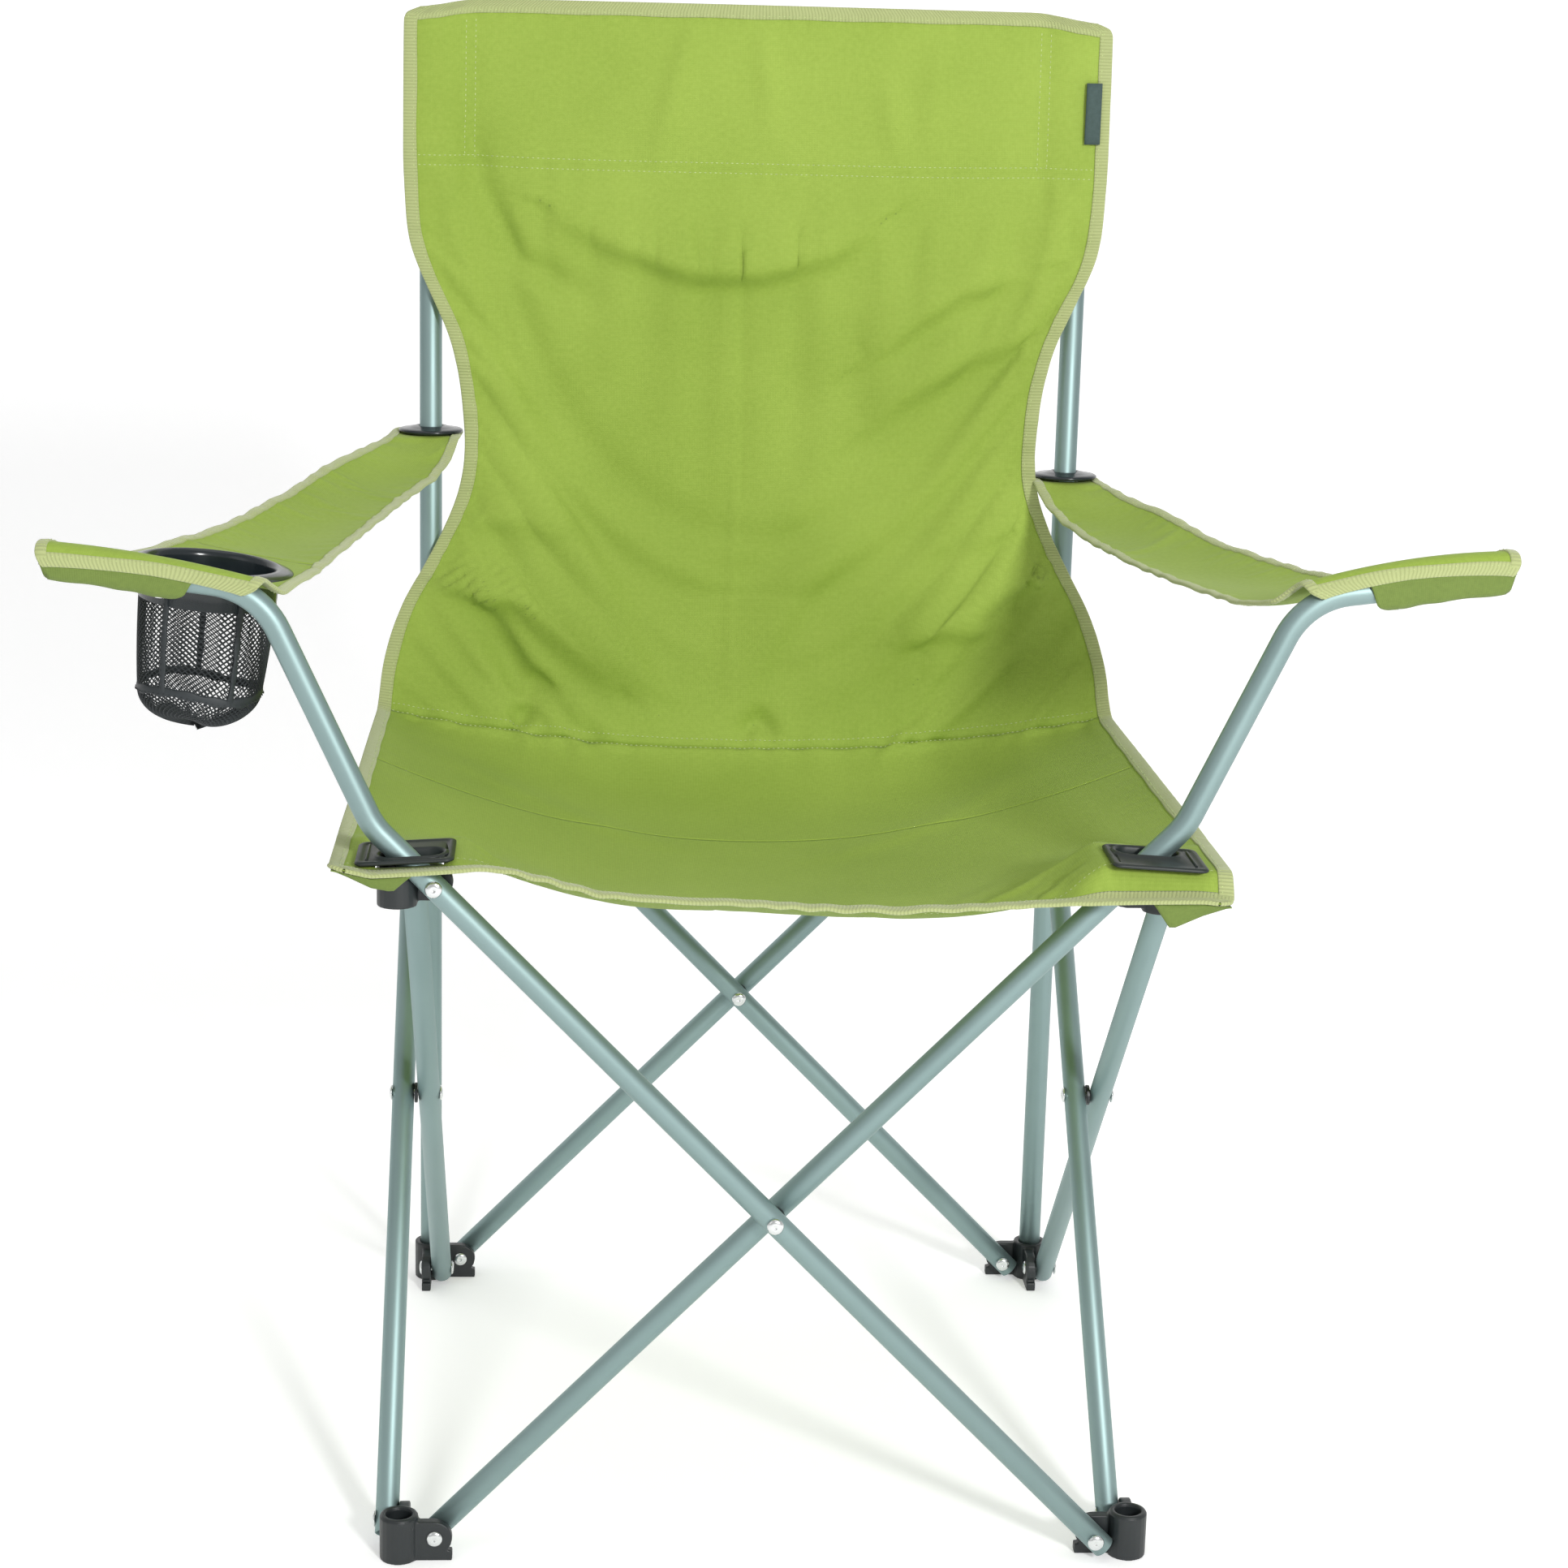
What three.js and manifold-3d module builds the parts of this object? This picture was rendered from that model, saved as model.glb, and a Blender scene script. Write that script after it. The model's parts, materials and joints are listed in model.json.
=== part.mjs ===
// A folding camp chair: four scissor pairs of round tube, moulded feet and corner hubs,
// a fabric sling, two fabric armrests and a mesh cup pocket. Millimetres, +Z up, front at -Y.
import * as THREE from "three";
import { mergeVertices } from "three/addons/utils/BufferGeometryUtils.js";
import Module from "manifold-3d";

const wasm = await Module();
wasm.setup();

// Frame
const CORNER = 217; // half the distance between neighbouring corner centres
const ARM = 21; // from a corner centre to the rivet of each cross tube
const PIVOT = CORNER - ARM;
const FOOT_Z = 14; // height of the foot rivets
const RISE = 400; // from a foot rivet to the hub rivet at the tube's other end
const HUB_Z = FOOT_Z + RISE;
const PLANE = 8.2; // each cross tube's plane lies this far from the corner plane
const TUBE_R = 7;
const TUBE_WALL = 0.9;
const TUBE_END = 8.5; // length of tube past an end rivet
const LEAN = Math.atan2(RISE, 2 * PIVOT);
const FOLD = THREE.MathUtils.degToRad(36.5); // turn of a cross tube from open to folded
const UPRIGHT_R = 7.5;
const UPRIGHT_TOP = 878;
const HOLE_R = 2.5;
const RIVET_R = 2.2;
const CLEAR = 0.3;

// Arm posts, which carry on from the front cross tubes
const ARM_BEND_1 = [230, 448.7];
const ARM_BEND_2 = [291.3, 581.3];
const ARM_TIP = [404, 595.5];

// Moulded corners
const BOSS_R = 11.5;
const BOSS_HALF = 13;
const EAR_T = 6.4;
const EAR_R = 10.5;

// Fabric
const CLOTH_T = 2.4;
const SEAM_Y = 180;
const CUP = [-325, -161, 573];
const CUP_TILT = 5.8;
const CUP_R = 36;
const ARM_REAR_Z = { left: 608, right: 584 };

const chair = new THREE.Group();
chair.name = "camp_chair";

function material(color, roughness, metalness) {
  return new THREE.MeshStandardMaterial({ color, roughness, metalness });
}
const STEEL = () => material(0x9aaba9, 0.35, 0.8);
const BRIGHT = () => material(0xc9cdcb, 0.25, 0.9);
const PLASTIC = () => material(0x14191b, 0.45, 0);
const CLOTH = () => material(0x90b04a, 0.85, 0);
const MESH = () => material(0x1b2226, 0.8, 0);

function solidOf(geometry) {
  const bare = new THREE.BufferGeometry();
  const plain = geometry.index ? geometry.toNonIndexed() : geometry;
  bare.setAttribute("position", plain.getAttribute("position"));
  const merged = mergeVertices(bare, 1e-3);
  const kept = [];
  const index = merged.index.array;
  for (let i = 0; i < index.length; i += 3) {
    const [a, b, c] = [index[i], index[i + 1], index[i + 2]];
    if (a !== b && b !== c && c !== a) kept.push(a, b, c);
  }
  const solid = new wasm.Manifold(
    new wasm.Mesh({
      numProp: 3,
      vertProperties: merged.attributes.position.array,
      triVerts: new Uint32Array(kept),
    }),
  );
  return solid;
}

function add(name, solid, mat) {
  const m = solid.getMesh();
  const geometry = new THREE.BufferGeometry();
  geometry.setAttribute("position", new THREE.BufferAttribute(Float32Array.from(m.vertProperties), 3));
  geometry.setIndex(new THREE.BufferAttribute(Uint32Array.from(m.triVerts), 1));
  geometry.computeVertexNormals();
  const mesh = new THREE.Mesh(geometry, mat);
  mesh.name = name;
  chair.add(mesh);
}

function box(x0, x1, y0, y1, z0, z1) {
  const g = new THREE.BoxGeometry(x1 - x0, y1 - y0, z1 - z0);
  g.translate((x0 + x1) / 2, (y0 + y1) / 2, (z0 + z1) / 2);
  return solidOf(g);
}

// A round bar between two points.
function bar(from, to, radius, segments = 14) {
  const a = new THREE.Vector3(...from);
  const b = new THREE.Vector3(...to);
  const g = new THREE.CylinderGeometry(radius, radius, a.distanceTo(b), segments);
  const turn = new THREE.Quaternion().setFromUnitVectors(
    new THREE.Vector3(0, 1, 0),
    b.clone().sub(a).normalize(),
  );
  g.applyQuaternion(turn);
  g.translate((a.x + b.x) / 2, (a.y + b.y) / 2, (a.z + b.z) / 2);
  return solidOf(g);
}

// A turned piece about the vertical line through (x, y); profile points are [radius, z].
function turned(profile, x, y, segments = 24) {
  const points = profile.map(([r, z]) => new THREE.Vector2(r, z));
  points.push(points[0].clone());
  const g = new THREE.LatheGeometry(points, segments);
  g.rotateX(Math.PI / 2);
  g.translate(x, y, 0);
  const solid = solidOf(g);
  return solid;
}

// A tube swept along points that lie in one plane with the given normal. Open at both ends.
function tube(points, normal, outer, inner, segments = 14) {
  const rings = points.map((p, i) => {
    const before = points[Math.max(i - 1, 0)];
    const after = points[Math.min(i + 1, points.length - 1)];
    const along = after.clone().sub(before).normalize();
    const side = new THREE.Vector3().crossVectors(along, normal);
    return (radius, k) => {
      const t = (2 * Math.PI * k) / segments;
      return p
        .clone()
        .addScaledVector(side, radius * Math.cos(t))
        .addScaledVector(normal, radius * Math.sin(t));
    };
  });
  const triangles = [];
  const quad = (a, b, c, d) => triangles.push(a, b, c, a, c, d);
  for (let k = 0; k < segments; k += 1) {
    for (let i = 0; i + 1 < rings.length; i += 1) {
      const [p, q] = [rings[i], rings[i + 1]];
      quad(p(outer, k), p(outer, k + 1), q(outer, k + 1), q(outer, k));
      quad(p(inner, k), q(inner, k), q(inner, k + 1), p(inner, k + 1));
    }
    const [s, e] = [rings[0], rings[rings.length - 1]];
    quad(s(outer, k), s(inner, k), s(inner, k + 1), s(outer, k + 1));
    quad(e(outer, k), e(outer, k + 1), e(inner, k + 1), e(inner, k));
  }
  const g = new THREE.BufferGeometry().setFromPoints(triangles);
  const solid = solidOf(g);
  return solid.volume() < 0 ? solidOf(flipped(g)) : solid;
}

function flipped(geometry) {
  const p = geometry.getAttribute("position").array.slice();
  for (let i = 0; i < p.length; i += 9) {
    for (let j = 0; j < 3; j += 1) {
      [p[i + 3 + j], p[i + 6 + j]] = [p[i + 6 + j], p[i + 3 + j]];
    }
  }
  const g = new THREE.BufferGeometry();
  g.setAttribute("position", new THREE.BufferAttribute(p, 3));
  return g;
}

// Rounds the corners of a polyline with arcs of the given radius.
function rounded(corners, radius, steps = 5) {
  const out = [corners[0]];
  for (let i = 1; i + 1 < corners.length; i += 1) {
    const c = corners[i];
    const back = corners[i - 1].clone().sub(c).normalize();
    const on = corners[i + 1].clone().sub(c).normalize();
    const half = back.angleTo(on) / 2;
    const reach = radius / Math.tan(half);
    const middle = back.clone().add(on).normalize();
    const centre = c.clone().addScaledVector(middle, radius / Math.sin(half));
    const from = c.clone().addScaledVector(back, reach).sub(centre);
    const to = c.clone().addScaledVector(on, reach).sub(centre);
    const whole = from.angleTo(to);
    for (let k = 0; k <= steps; k += 1) {
      const t = k / steps;
      const a = Math.sin((1 - t) * whole) / Math.sin(whole);
      const b = Math.sin(t * whole) / Math.sin(whole);
      out.push(centre.clone().addScaledVector(from, a).addScaledVector(to, b));
    }
  }
  out.push(corners[corners.length - 1]);
  return out;
}

// A thin curved sheet: place(u, v) gives its middle surface for u and v from 0 to 1.
function sheet(place, nu, nv, thickness) {
  const at = (i, j, side) => {
    const [u, v] = [i / nu, j / nv];
    const e = 1e-3;
    const du = place(u + e, v).sub(place(u - e, v));
    const dv = place(u, v + e).sub(place(u, v - e));
    const n = du.cross(dv).normalize();
    return place(u, v).addScaledVector(n, (side * thickness) / 2);
  };
  const triangles = [];
  const quad = (a, b, c, d) => triangles.push(a, b, c, a, c, d);
  for (let i = 0; i < nu; i += 1) {
    for (let j = 0; j < nv; j += 1) {
      quad(at(i, j, 1), at(i + 1, j, 1), at(i + 1, j + 1, 1), at(i, j + 1, 1));
      quad(at(i, j, -1), at(i, j + 1, -1), at(i + 1, j + 1, -1), at(i + 1, j, -1));
    }
  }
  for (let i = 0; i < nu; i += 1) {
    quad(at(i, 0, -1), at(i + 1, 0, -1), at(i + 1, 0, 1), at(i, 0, 1));
    quad(at(i, nv, 1), at(i + 1, nv, 1), at(i + 1, nv, -1), at(i, nv, -1));
  }
  for (let j = 0; j < nv; j += 1) {
    quad(at(0, j, 1), at(0, j + 1, 1), at(0, j + 1, -1), at(0, j, -1));
    quad(at(nu, j, -1), at(nu, j + 1, -1), at(nu, j + 1, 1), at(nu, j, 1));
  }
  const g = new THREE.BufferGeometry().setFromPoints(triangles);
  const solid = solidOf(g);
  return solid.volume() < 0 ? solidOf(flipped(g)) : solid;
}

// Each cross tube runs along X (front and rear pairs) or Y (side pairs). `foot` is the side its
// foot rivet is on, `plane` the signed coordinate of its plane.
const F = -CORNER;
const B = CORNER;
const CROSS = {
  rear_cross_tube_a: { run: "x", foot: -1, plane: B + PLANE },
  rear_cross_tube_b: { run: "x", foot: 1, plane: B - PLANE },
  left_cross_tube_a: { run: "y", foot: 1, plane: -CORNER + PLANE },
  left_cross_tube_b: { run: "y", foot: -1, plane: -CORNER - PLANE },
  right_cross_tube_a: { run: "y", foot: 1, plane: CORNER + PLANE },
  right_cross_tube_b: { run: "y", foot: -1, plane: CORNER - PLANE },
  front_tube_right_arm: { run: "x", foot: -1, plane: F + PLANE, arm: 1 },
  front_tube_left_arm: { run: "x", foot: 1, plane: F - PLANE, arm: -1 },
};

function point(t, s, z) {
  return t.run === "x" ? new THREE.Vector3(s, t.plane, z) : new THREE.Vector3(t.plane, s, z);
}

const armRods = {}; // the space each arm post fills, for the armrest sleeves
for (const [name, t] of Object.entries(CROSS)) {
  const [c, s] = [Math.cos(LEAN), Math.sin(LEAN)];
  const start = point(t, t.foot * (PIVOT + TUBE_END * c), FOOT_Z - TUBE_END * s);
  let path = [start, point(t, -t.foot * (PIVOT + TUBE_END * c), HUB_Z + TUBE_END * s)];
  if (t.arm) {
    const bends = [ARM_BEND_1, ARM_BEND_2, ARM_TIP].map(([x, z]) => point(t, t.arm * x, z));
    path = rounded([start, ...bends], 45);
  }
  const normal = t.run === "x" ? new THREE.Vector3(0, 1, 0) : new THREE.Vector3(1, 0, 0);
  if (t.arm) armRods[t.arm] = tube(path, normal, TUBE_R + 0.6, 0);
  let solid = tube(path, normal, TUBE_R, TUBE_R - TUBE_WALL);
  const drilled = [[t.foot * PIVOT, FOOT_Z], [0, (FOOT_Z + HUB_Z) / 2], [-t.foot * PIVOT, HUB_Z]];
  for (const [along, z] of drilled) {
    const at = point(t, along, z);
    const far = at.clone().addScaledVector(normal, 12);
    const near = at.clone().addScaledVector(normal, -12);
    solid = solid.subtract(bar(near.toArray(), far.toArray(), HOLE_R, 8));
  }
  add(name, solid, STEEL());
}

// Uprights with a plug in the top of each.
for (const [side, sx] of [["left", -1], ["right", 1]]) {
  const [x, y] = [sx * CORNER, CORNER];
  const profile = [
    [UPRIGHT_R - TUBE_WALL, 3.3],
    [UPRIGHT_R, 3.3],
    [UPRIGHT_R, UPRIGHT_TOP],
    [UPRIGHT_R - TUBE_WALL, UPRIGHT_TOP],
  ];
  add("upright_" + side, turned(profile, x, y, 20), STEEL());
  const cap = bar([x, y, UPRIGHT_TOP + CLEAR], [x, y, UPRIGHT_TOP + 3], UPRIGHT_R, 20);
  const plug = bar([x, y, UPRIGHT_TOP - 12], [x, y, UPRIGHT_TOP + 1], 6.2, 12);
  add("upright_plug_" + side, cap.add(plug), PLASTIC());
}

// The room that a cross tube needs beside a corner as it swings.
function swing(t, s, z, up) {
  const reach = (angle, length) => {
    const inward = -Math.sign(s);
    return point(t, s + inward * length * Math.cos(angle), z - up * length * Math.sin(angle));
  };
  let room = null;
  const steps = 3;
  for (let k = 0; k <= steps; k += 1) {
    const angle = LEAN + (FOLD * k) / steps;
    const one = bar(
      reach(angle, t.arm && up === 1 ? -60 : -11).toArray(),
      reach(angle, 45).toArray(),
      TUBE_R + CLEAR + 0.2,
      10,
    );
    room = room ? room.add(one) : one;
  }
  return room;
}

// A moulded corner piece: a round boss on the corner line and two ears, one for each cross tube.
const CORNERS = {
  rear_left: [-1, 1],
  rear_right: [1, 1],
  front_left: [-1, -1],
  front_right: [1, -1],
};
const RIVETS = [];

function corner(place, isHub) {
  const [sx, sy] = CORNERS[place];
  const [x, y] = [sx * CORNER, sy * CORNER];
  const z = isHub ? HUB_Z : FOOT_Z;
  const low = isHub ? z - BOSS_HALF : 0;
  const high = z + BOSS_HALF;
  let body = bar([x, y, low], [x, y, high], BOSS_R, 20);
  const rooms = [];
  for (const t of Object.values(CROSS)) {
    const across = t.run === "x" ? sy : sx;
    const along = t.run === "x" ? sx : sy;
    const end = isHub ? -t.foot : t.foot;
    if (Math.sign(t.plane) !== across || end !== along) continue;
    const middle = across * CORNER;
    const side = Math.sign(t.plane - middle); // the side of the corner plane the tube lies on
    const near = middle + side * (PLANE - TUBE_R - CLEAR);
    const far = near - side * EAR_T;
    const [p0, p1] = [Math.min(near, far), Math.max(near, far)];
    const pivot = along * PIVOT;
    const outer = along * CORNER;
    const [a0, a1] = [Math.min(pivot, outer), Math.max(pivot, outer)];
    const low2 = isHub ? z - EAR_R : 0;
    const disc0 = point({ run: t.run, plane: p0 }, pivot, z).toArray();
    const disc1 = point({ run: t.run, plane: p1 }, pivot, z).toArray();
    body = body.add(bar(disc0, disc1, EAR_R, 16));
    body = body.add(
      t.run === "x" ? box(a0, a1, p0, p1, low2, z + EAR_R) : box(p0, p1, a0, a1, low2, z + EAR_R),
    );
    if (!isHub) {
      const tip = pivot - along * EAR_R;
      const [b0, b1] = [Math.min(tip, outer), Math.max(tip, outer)];
      body = body.add(t.run === "x" ? box(b0, b1, p0, p1, 0, 6) : box(p0, p1, b0, b1, 0, 6));
    }
    rooms.push(swing(t, pivot, z, isHub ? 1 : -1));
    rooms.push(
      bar(
        point({ run: t.run, plane: middle - 30 }, pivot, z).toArray(),
        point({ run: t.run, plane: middle + 30 }, pivot, z).toArray(),
        HOLE_R,
        8,
      ),
    );
    RIVETS.push({
      name: `rivet_${place}_${isHub ? "hub" : "foot"}_${t.run}`,
      run: t.run,
      along: pivot,
      z,
      from: far,
      to: t.plane + side * TUBE_R,
    });
  }
  for (const room of rooms) body = body.subtract(room);
  return { body, x, y, z, low, high };
}

for (const place of Object.keys(CORNERS)) {
  const foot = corner(place, false);
  const socket = bar([foot.x, foot.y, 3], [foot.x, foot.y, 60], UPRIGHT_R + CLEAR, 20);
  add("foot_" + place, foot.body.subtract(socket), PLASTIC());
  const hub = corner(place, true);
  const rear = place.startsWith("rear");
  const bore = bar(
    [hub.x, hub.y, rear ? hub.low - 5 : hub.low + 8],
    [hub.x, hub.y, hub.high + 5],
    rear ? UPRIGHT_R + CLEAR : 4,
    20,
  );
  add("hub_" + place, hub.body.subtract(bore), PLASTIC());
}

// Rivets: a shank with a low dome at each end.
function rivet(r) {
  const low = Math.min(r.from, r.to) - 0.2;
  const high = Math.max(r.from, r.to) + 0.2;
  const profile = [
    [0, low - 1.7],
    [3, low - 1.4],
    [4.8, low],
    [RIVET_R, low],
    [RIVET_R, high],
    [4.8, high],
    [3, high + 1.4],
    [0, high + 1.7],
  ];
  const points = profile.map(([radius, h]) => new THREE.Vector2(radius, h));
  const g = new THREE.LatheGeometry(points, 12);
  if (r.run === "y") g.rotateZ(-Math.PI / 2);
  g.translate(r.run === "x" ? r.along : 0, r.run === "y" ? r.along : 0, r.z);
  add(r.name, solidOf(g), BRIGHT());
}
for (const r of RIVETS) rivet(r);

const MIDDLE_Z = (FOOT_Z + HUB_Z) / 2;
const CROSSINGS = [
  ["front", "x", F],
  ["rear", "x", B],
  ["left", "y", -CORNER],
  ["right", "y", CORNER],
];
for (const [name, run, plane] of CROSSINGS) {
  const reach = PLANE + TUBE_R;
  rivet({ name: "rivet_" + name + "_middle", run, along: 0, z: MIDDLE_Z, from: plane - reach, to: plane + reach });
  const spot = (p) => point({ run, plane: p }, 0, MIDDLE_Z).toArray();
  const half = PLANE - TUBE_R - CLEAR;
  const disc = bar(spot(plane - half), spot(plane + half), 6.5, 14);
  const hole = bar(spot(plane - 5), spot(plane + 5), HOLE_R, 8);
  add("spacer_" + name, disc.subtract(hole), PLASTIC());
}

// Half-width of the sling's back at a height.
const BACK_OUTLINE = [
  [404, 253],
  [453, 248],
  [475, 243],
  [498, 234],
  [521, 220],
  [543, 208],
  [566, 198],
  [588, 193],
  [632, 193],
  [654, 197],
  [676, 203],
  [719, 223],
  [740, 231],
  [788, 233],
  [884, 233],
];
function backHalf(z) {
  const k = BACK_OUTLINE.findIndex(([h]) => h >= z);
  if (k <= 0) return BACK_OUTLINE[k < 0 ? BACK_OUTLINE.length - 1 : 0][1];
  const [[z0, w0], [z1, w1]] = [BACK_OUTLINE[k - 1], BACK_OUTLINE[k]];
  return w0 + ((w1 - w0) * (z - z0)) / (z1 - z0);
}

const BACK_Y = 203;
const BACK_TOP = 892;
const BAND_Z = 789;
function backPlace(u, v) {
  const low = 404 + 20 * Math.pow(Math.abs(2 * u - 1), 2);
  const high = BACK_TOP - 8 * Math.pow(Math.abs(2 * u - 1), 6);
  const z = low + (high - low) * v;
  const x = (2 * u - 1) * backHalf(Math.min(Math.max(z, 405), 883));
  const hollow = 16 * (1 - Math.pow(2 * u - 1, 2)) * Math.sin(Math.PI * Math.min(v, 1));
  const foot = (BACK_Y - SEAM_Y) * Math.pow(1 - v, 4);
  return new THREE.Vector3(x, BACK_Y + hollow - foot, z);
}
let back = sheet(backPlace, 10, 18, CLOTH_T);
for (const sx of [-1, 1]) {
  const x = sx * CORNER;
  const outer = box(x - 12, x + 12, BACK_Y - 0.5, CORNER + 11.5, BAND_Z, 886);
  const bore = bar([x, CORNER, BAND_Z - 5], [x, CORNER, 883], UPRIGHT_R + 1.2, 20);
  const wedge = bar([x, CORNER, BAND_Z - 60], [x, CORNER, BAND_Z + 1], UPRIGHT_R + 1.2, 20);
  back = back.add(outer).subtract(bore).subtract(wedge);
}
add("back_fabric", back, CLOTH());

// The seat: a hammock that sags in the middle, in a front and a rear part.
const SEAT_FRONT_Y = -240;
const SEAT_FOLD_Y = 45;
const SEAT_EDGE_Z = 428.8;
function seatPoint(u, y) {
  const across = 2 * u - 1;
  const along = (y - SEAT_FRONT_Y) / (SEAM_Y - SEAT_FRONT_Y);
  const edge = SEAT_EDGE_Z - 2 * Math.pow(along, 2);
  // the corners lie flat over the hubs
  const hammock = 0.72 + 0.28 * Math.min(Math.max((along - 0.13) / 0.3, 0), 1);
  const dip = 1 - Math.pow(Math.min(Math.abs(across) / hammock, 1), 2.4);
  const sag = 22 * dip + 12 * Math.sin(Math.PI * along) * (1 - across * across);
  return new THREE.Vector3(across * 250, y, edge - sag);
}
function strip(y0, y1, nv) {
  return sheet((u, v) => seatPoint(u, y0 + (y1 - y0) * v), 12, nv, CLOTH_T);
}
let seatFront = strip(SEAT_FRONT_Y, SEAT_FOLD_Y - CLEAR, 8);
const SLOT = { x0: 188, x1: 230, y0: -236, y1: -198 };
for (const sx of [-1, 1]) {
  const [a, b] = [sx * SLOT.x0, sx * SLOT.x1].sort((p, q) => p - q);
  seatFront = seatFront.subtract(box(a, b, SLOT.y0, SLOT.y1, 400, 460));
}
add("seat_fabric_front", seatFront, CLOTH());
add("seat_fabric_rear", strip(SEAT_FOLD_Y + CLEAR, SEAM_Y - 3, 4), CLOTH());

// Slotted plates sewn in the seat's front corners; the arm posts pass through them.
for (const [side, sx] of [["left", -1], ["right", 1]]) {
  const [a, b] = [sx * 184, sx * 240].sort((p, q) => p - q);
  const y = sx < 0 ? F - PLANE : F + PLANE;
  const z = SEAT_EDGE_Z + CLOTH_T / 2 + 0.4;
  let plate = box(a, b, F - 24, F + 24, z, z + 3);
  const slotHalf = TUBE_R + 1.6;
  const ends = [sx * 198.5, sx * 218.5];
  for (const x of ends) plate = plate.subtract(bar([x, y, z - 9], [x, y, z + 9], slotHalf, 20));
  const [m0, m1] = ends.sort((p, q) => p - q);
  plate = plate.subtract(box(m0, m1, y - slotHalf, y + slotHalf, z - 9, z + 9));
  add("corner_plate_" + side, plate, PLASTIC());
}

// Armrests: a strip of fabric from a sleeve on the arm tube's end back to the upright.
const ARM_TUBE_Y = { left: F - PLANE, right: F + PLANE };
// Height of the strip's middle behind the tube: distance along y, height and slope across.
const ARM_LINE = {
  left: [[-211, 578.6, 0.1], [-100, 579.5, 0.1], [60, 590, 0.03], [238, 608, 0]],
  right: [[-165, 578, 0.06], [-100, 575, 0.04], [0, 573, 0], [120, 576, 0], [238, 584, 0]],
};
function armHeight(side, x, y, crest) {
  const tubeY = ARM_TUBE_Y[side];
  if (y <= tubeY) return crest - (tubeY - y) * 0.2;
  const knots = [[tubeY, crest, 0], ...ARM_LINE[side]];
  const k = Math.max(1, knots.findIndex(([at]) => at >= y));
  const [[y0, z0, s0], [y1, z1, s1]] = [knots[k - 1], knots[k]];
  const t = Math.min((y - y0) / (y1 - y0), 1);
  const tilt = (s0 + (s1 - s0) * t) * (x - 325);
  return z0 + (z1 - z0) * t + tilt;
}
function armPlace(side) {
  const sx = side === "left" ? -1 : 1;
  const front = ARM_TUBE_Y[side] - 10.8;
  return (across, along) => {
    const [u, v] = [across, along].map((w) => Math.min(Math.max(w, 0), 1));
    const inner = 276 + (196 - 276) * Math.pow(v, 0.8);
    const outer = 408 + (242 - 408) * Math.pow(v, 0.72);
    const x = inner + (outer - inner) * u;
    const y = front + (238 - front) * v;
    return new THREE.Vector3(sx * x, y, armHeight(side, x, y, 590.5 + 15 * u));
  };
}
for (const [side, sx] of [["left", -1], ["right", 1]]) {
  const tubeY = ARM_TUBE_Y[side];
  let arm = sheet(armPlace(side), 5, 46, CLOTH_T);
  const bore = bar([sx * CORNER, CORNER, 500], [sx * CORNER, CORNER, 700], UPRIGHT_R + 2, 20);
  arm = arm.subtract(bore);
  // the sleeve around the end of the arm tube
  const [x0, z0] = [300, 582.4];
  const [x1, z1] = [413, 596.6];
  const s0 = [sx * x0, tubeY, z0];
  const s1 = [sx * x1, tubeY, z1];
  arm = arm.add(bar(s0, s1, TUBE_R + 3.2, 14));
  arm = arm.subtract(armRods[sx]);
  if (side === "left") {
    arm = arm.subtract(bar([CUP[0], CUP[1], 540], [CUP[0], CUP[1], 640], CUP_R + 5, 32));
  }
  add("armrest_fabric_" + side, arm, CLOTH());
  const z = ARM_REAR_Z[side] + 3;
  const grommet = turned(
    [
      [UPRIGHT_R + 0.5, z],
      [20, z],
      [21, z + 1.2],
      [16, z + 3.6],
      [UPRIGHT_R + 0.5, z + 4],
    ],
    sx * CORNER,
    CORNER,
    28,
  );
  add("armrest_grommet_" + side, grommet, PLASTIC());
}

// The cup ring, sewn in the left armrest, and the mesh pocket that hangs from it.
const [CX, CY, CZ] = CUP;
const tilted = (solid) => solid.translate([-CX, -CY, -CZ]).rotate([0, CUP_TILT, 0]).translate([CX, CY, CZ]);
const ringProfile = [
  [CUP_R, CZ - 10],
  [CUP_R + 3, CZ - 10],
  [CUP_R + 3, CZ + 8],
  [CUP_R + 11, CZ + 9],
  [CUP_R + 11, CZ + 11],
  [CUP_R + 2, CZ + 13],
  [CUP_R, CZ + 11],
];
add("cup_ring", tilted(turned(ringProfile, CX, CY, 28)), PLASTIC());
const pocketProfile = [
  [0, CZ - 96],
  [20, CZ - 95],
  [33, CZ - 88],
  [36.5, CZ - 70],
  [CUP_R + 3, CZ - 10.3],
  [CUP_R + 1.6, CZ - 10.3],
  [35, CZ - 69],
  [31.6, CZ - 86.8],
  [19.5, CZ - 93.5],
  [0, CZ - 94.5],
];
add("cup_pocket", tilted(turned(pocketProfile, CX, CY, 24)), MESH());

// A short plain tag in the side seam of the back.
add("side_tag", box(217.5, 227, BACK_Y - 3.2, BACK_Y - 2, 812, 852), MESH());

export default chair;
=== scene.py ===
import json
import math

import bpy
import numpy as np
from mathutils import Matrix, Vector


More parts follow.
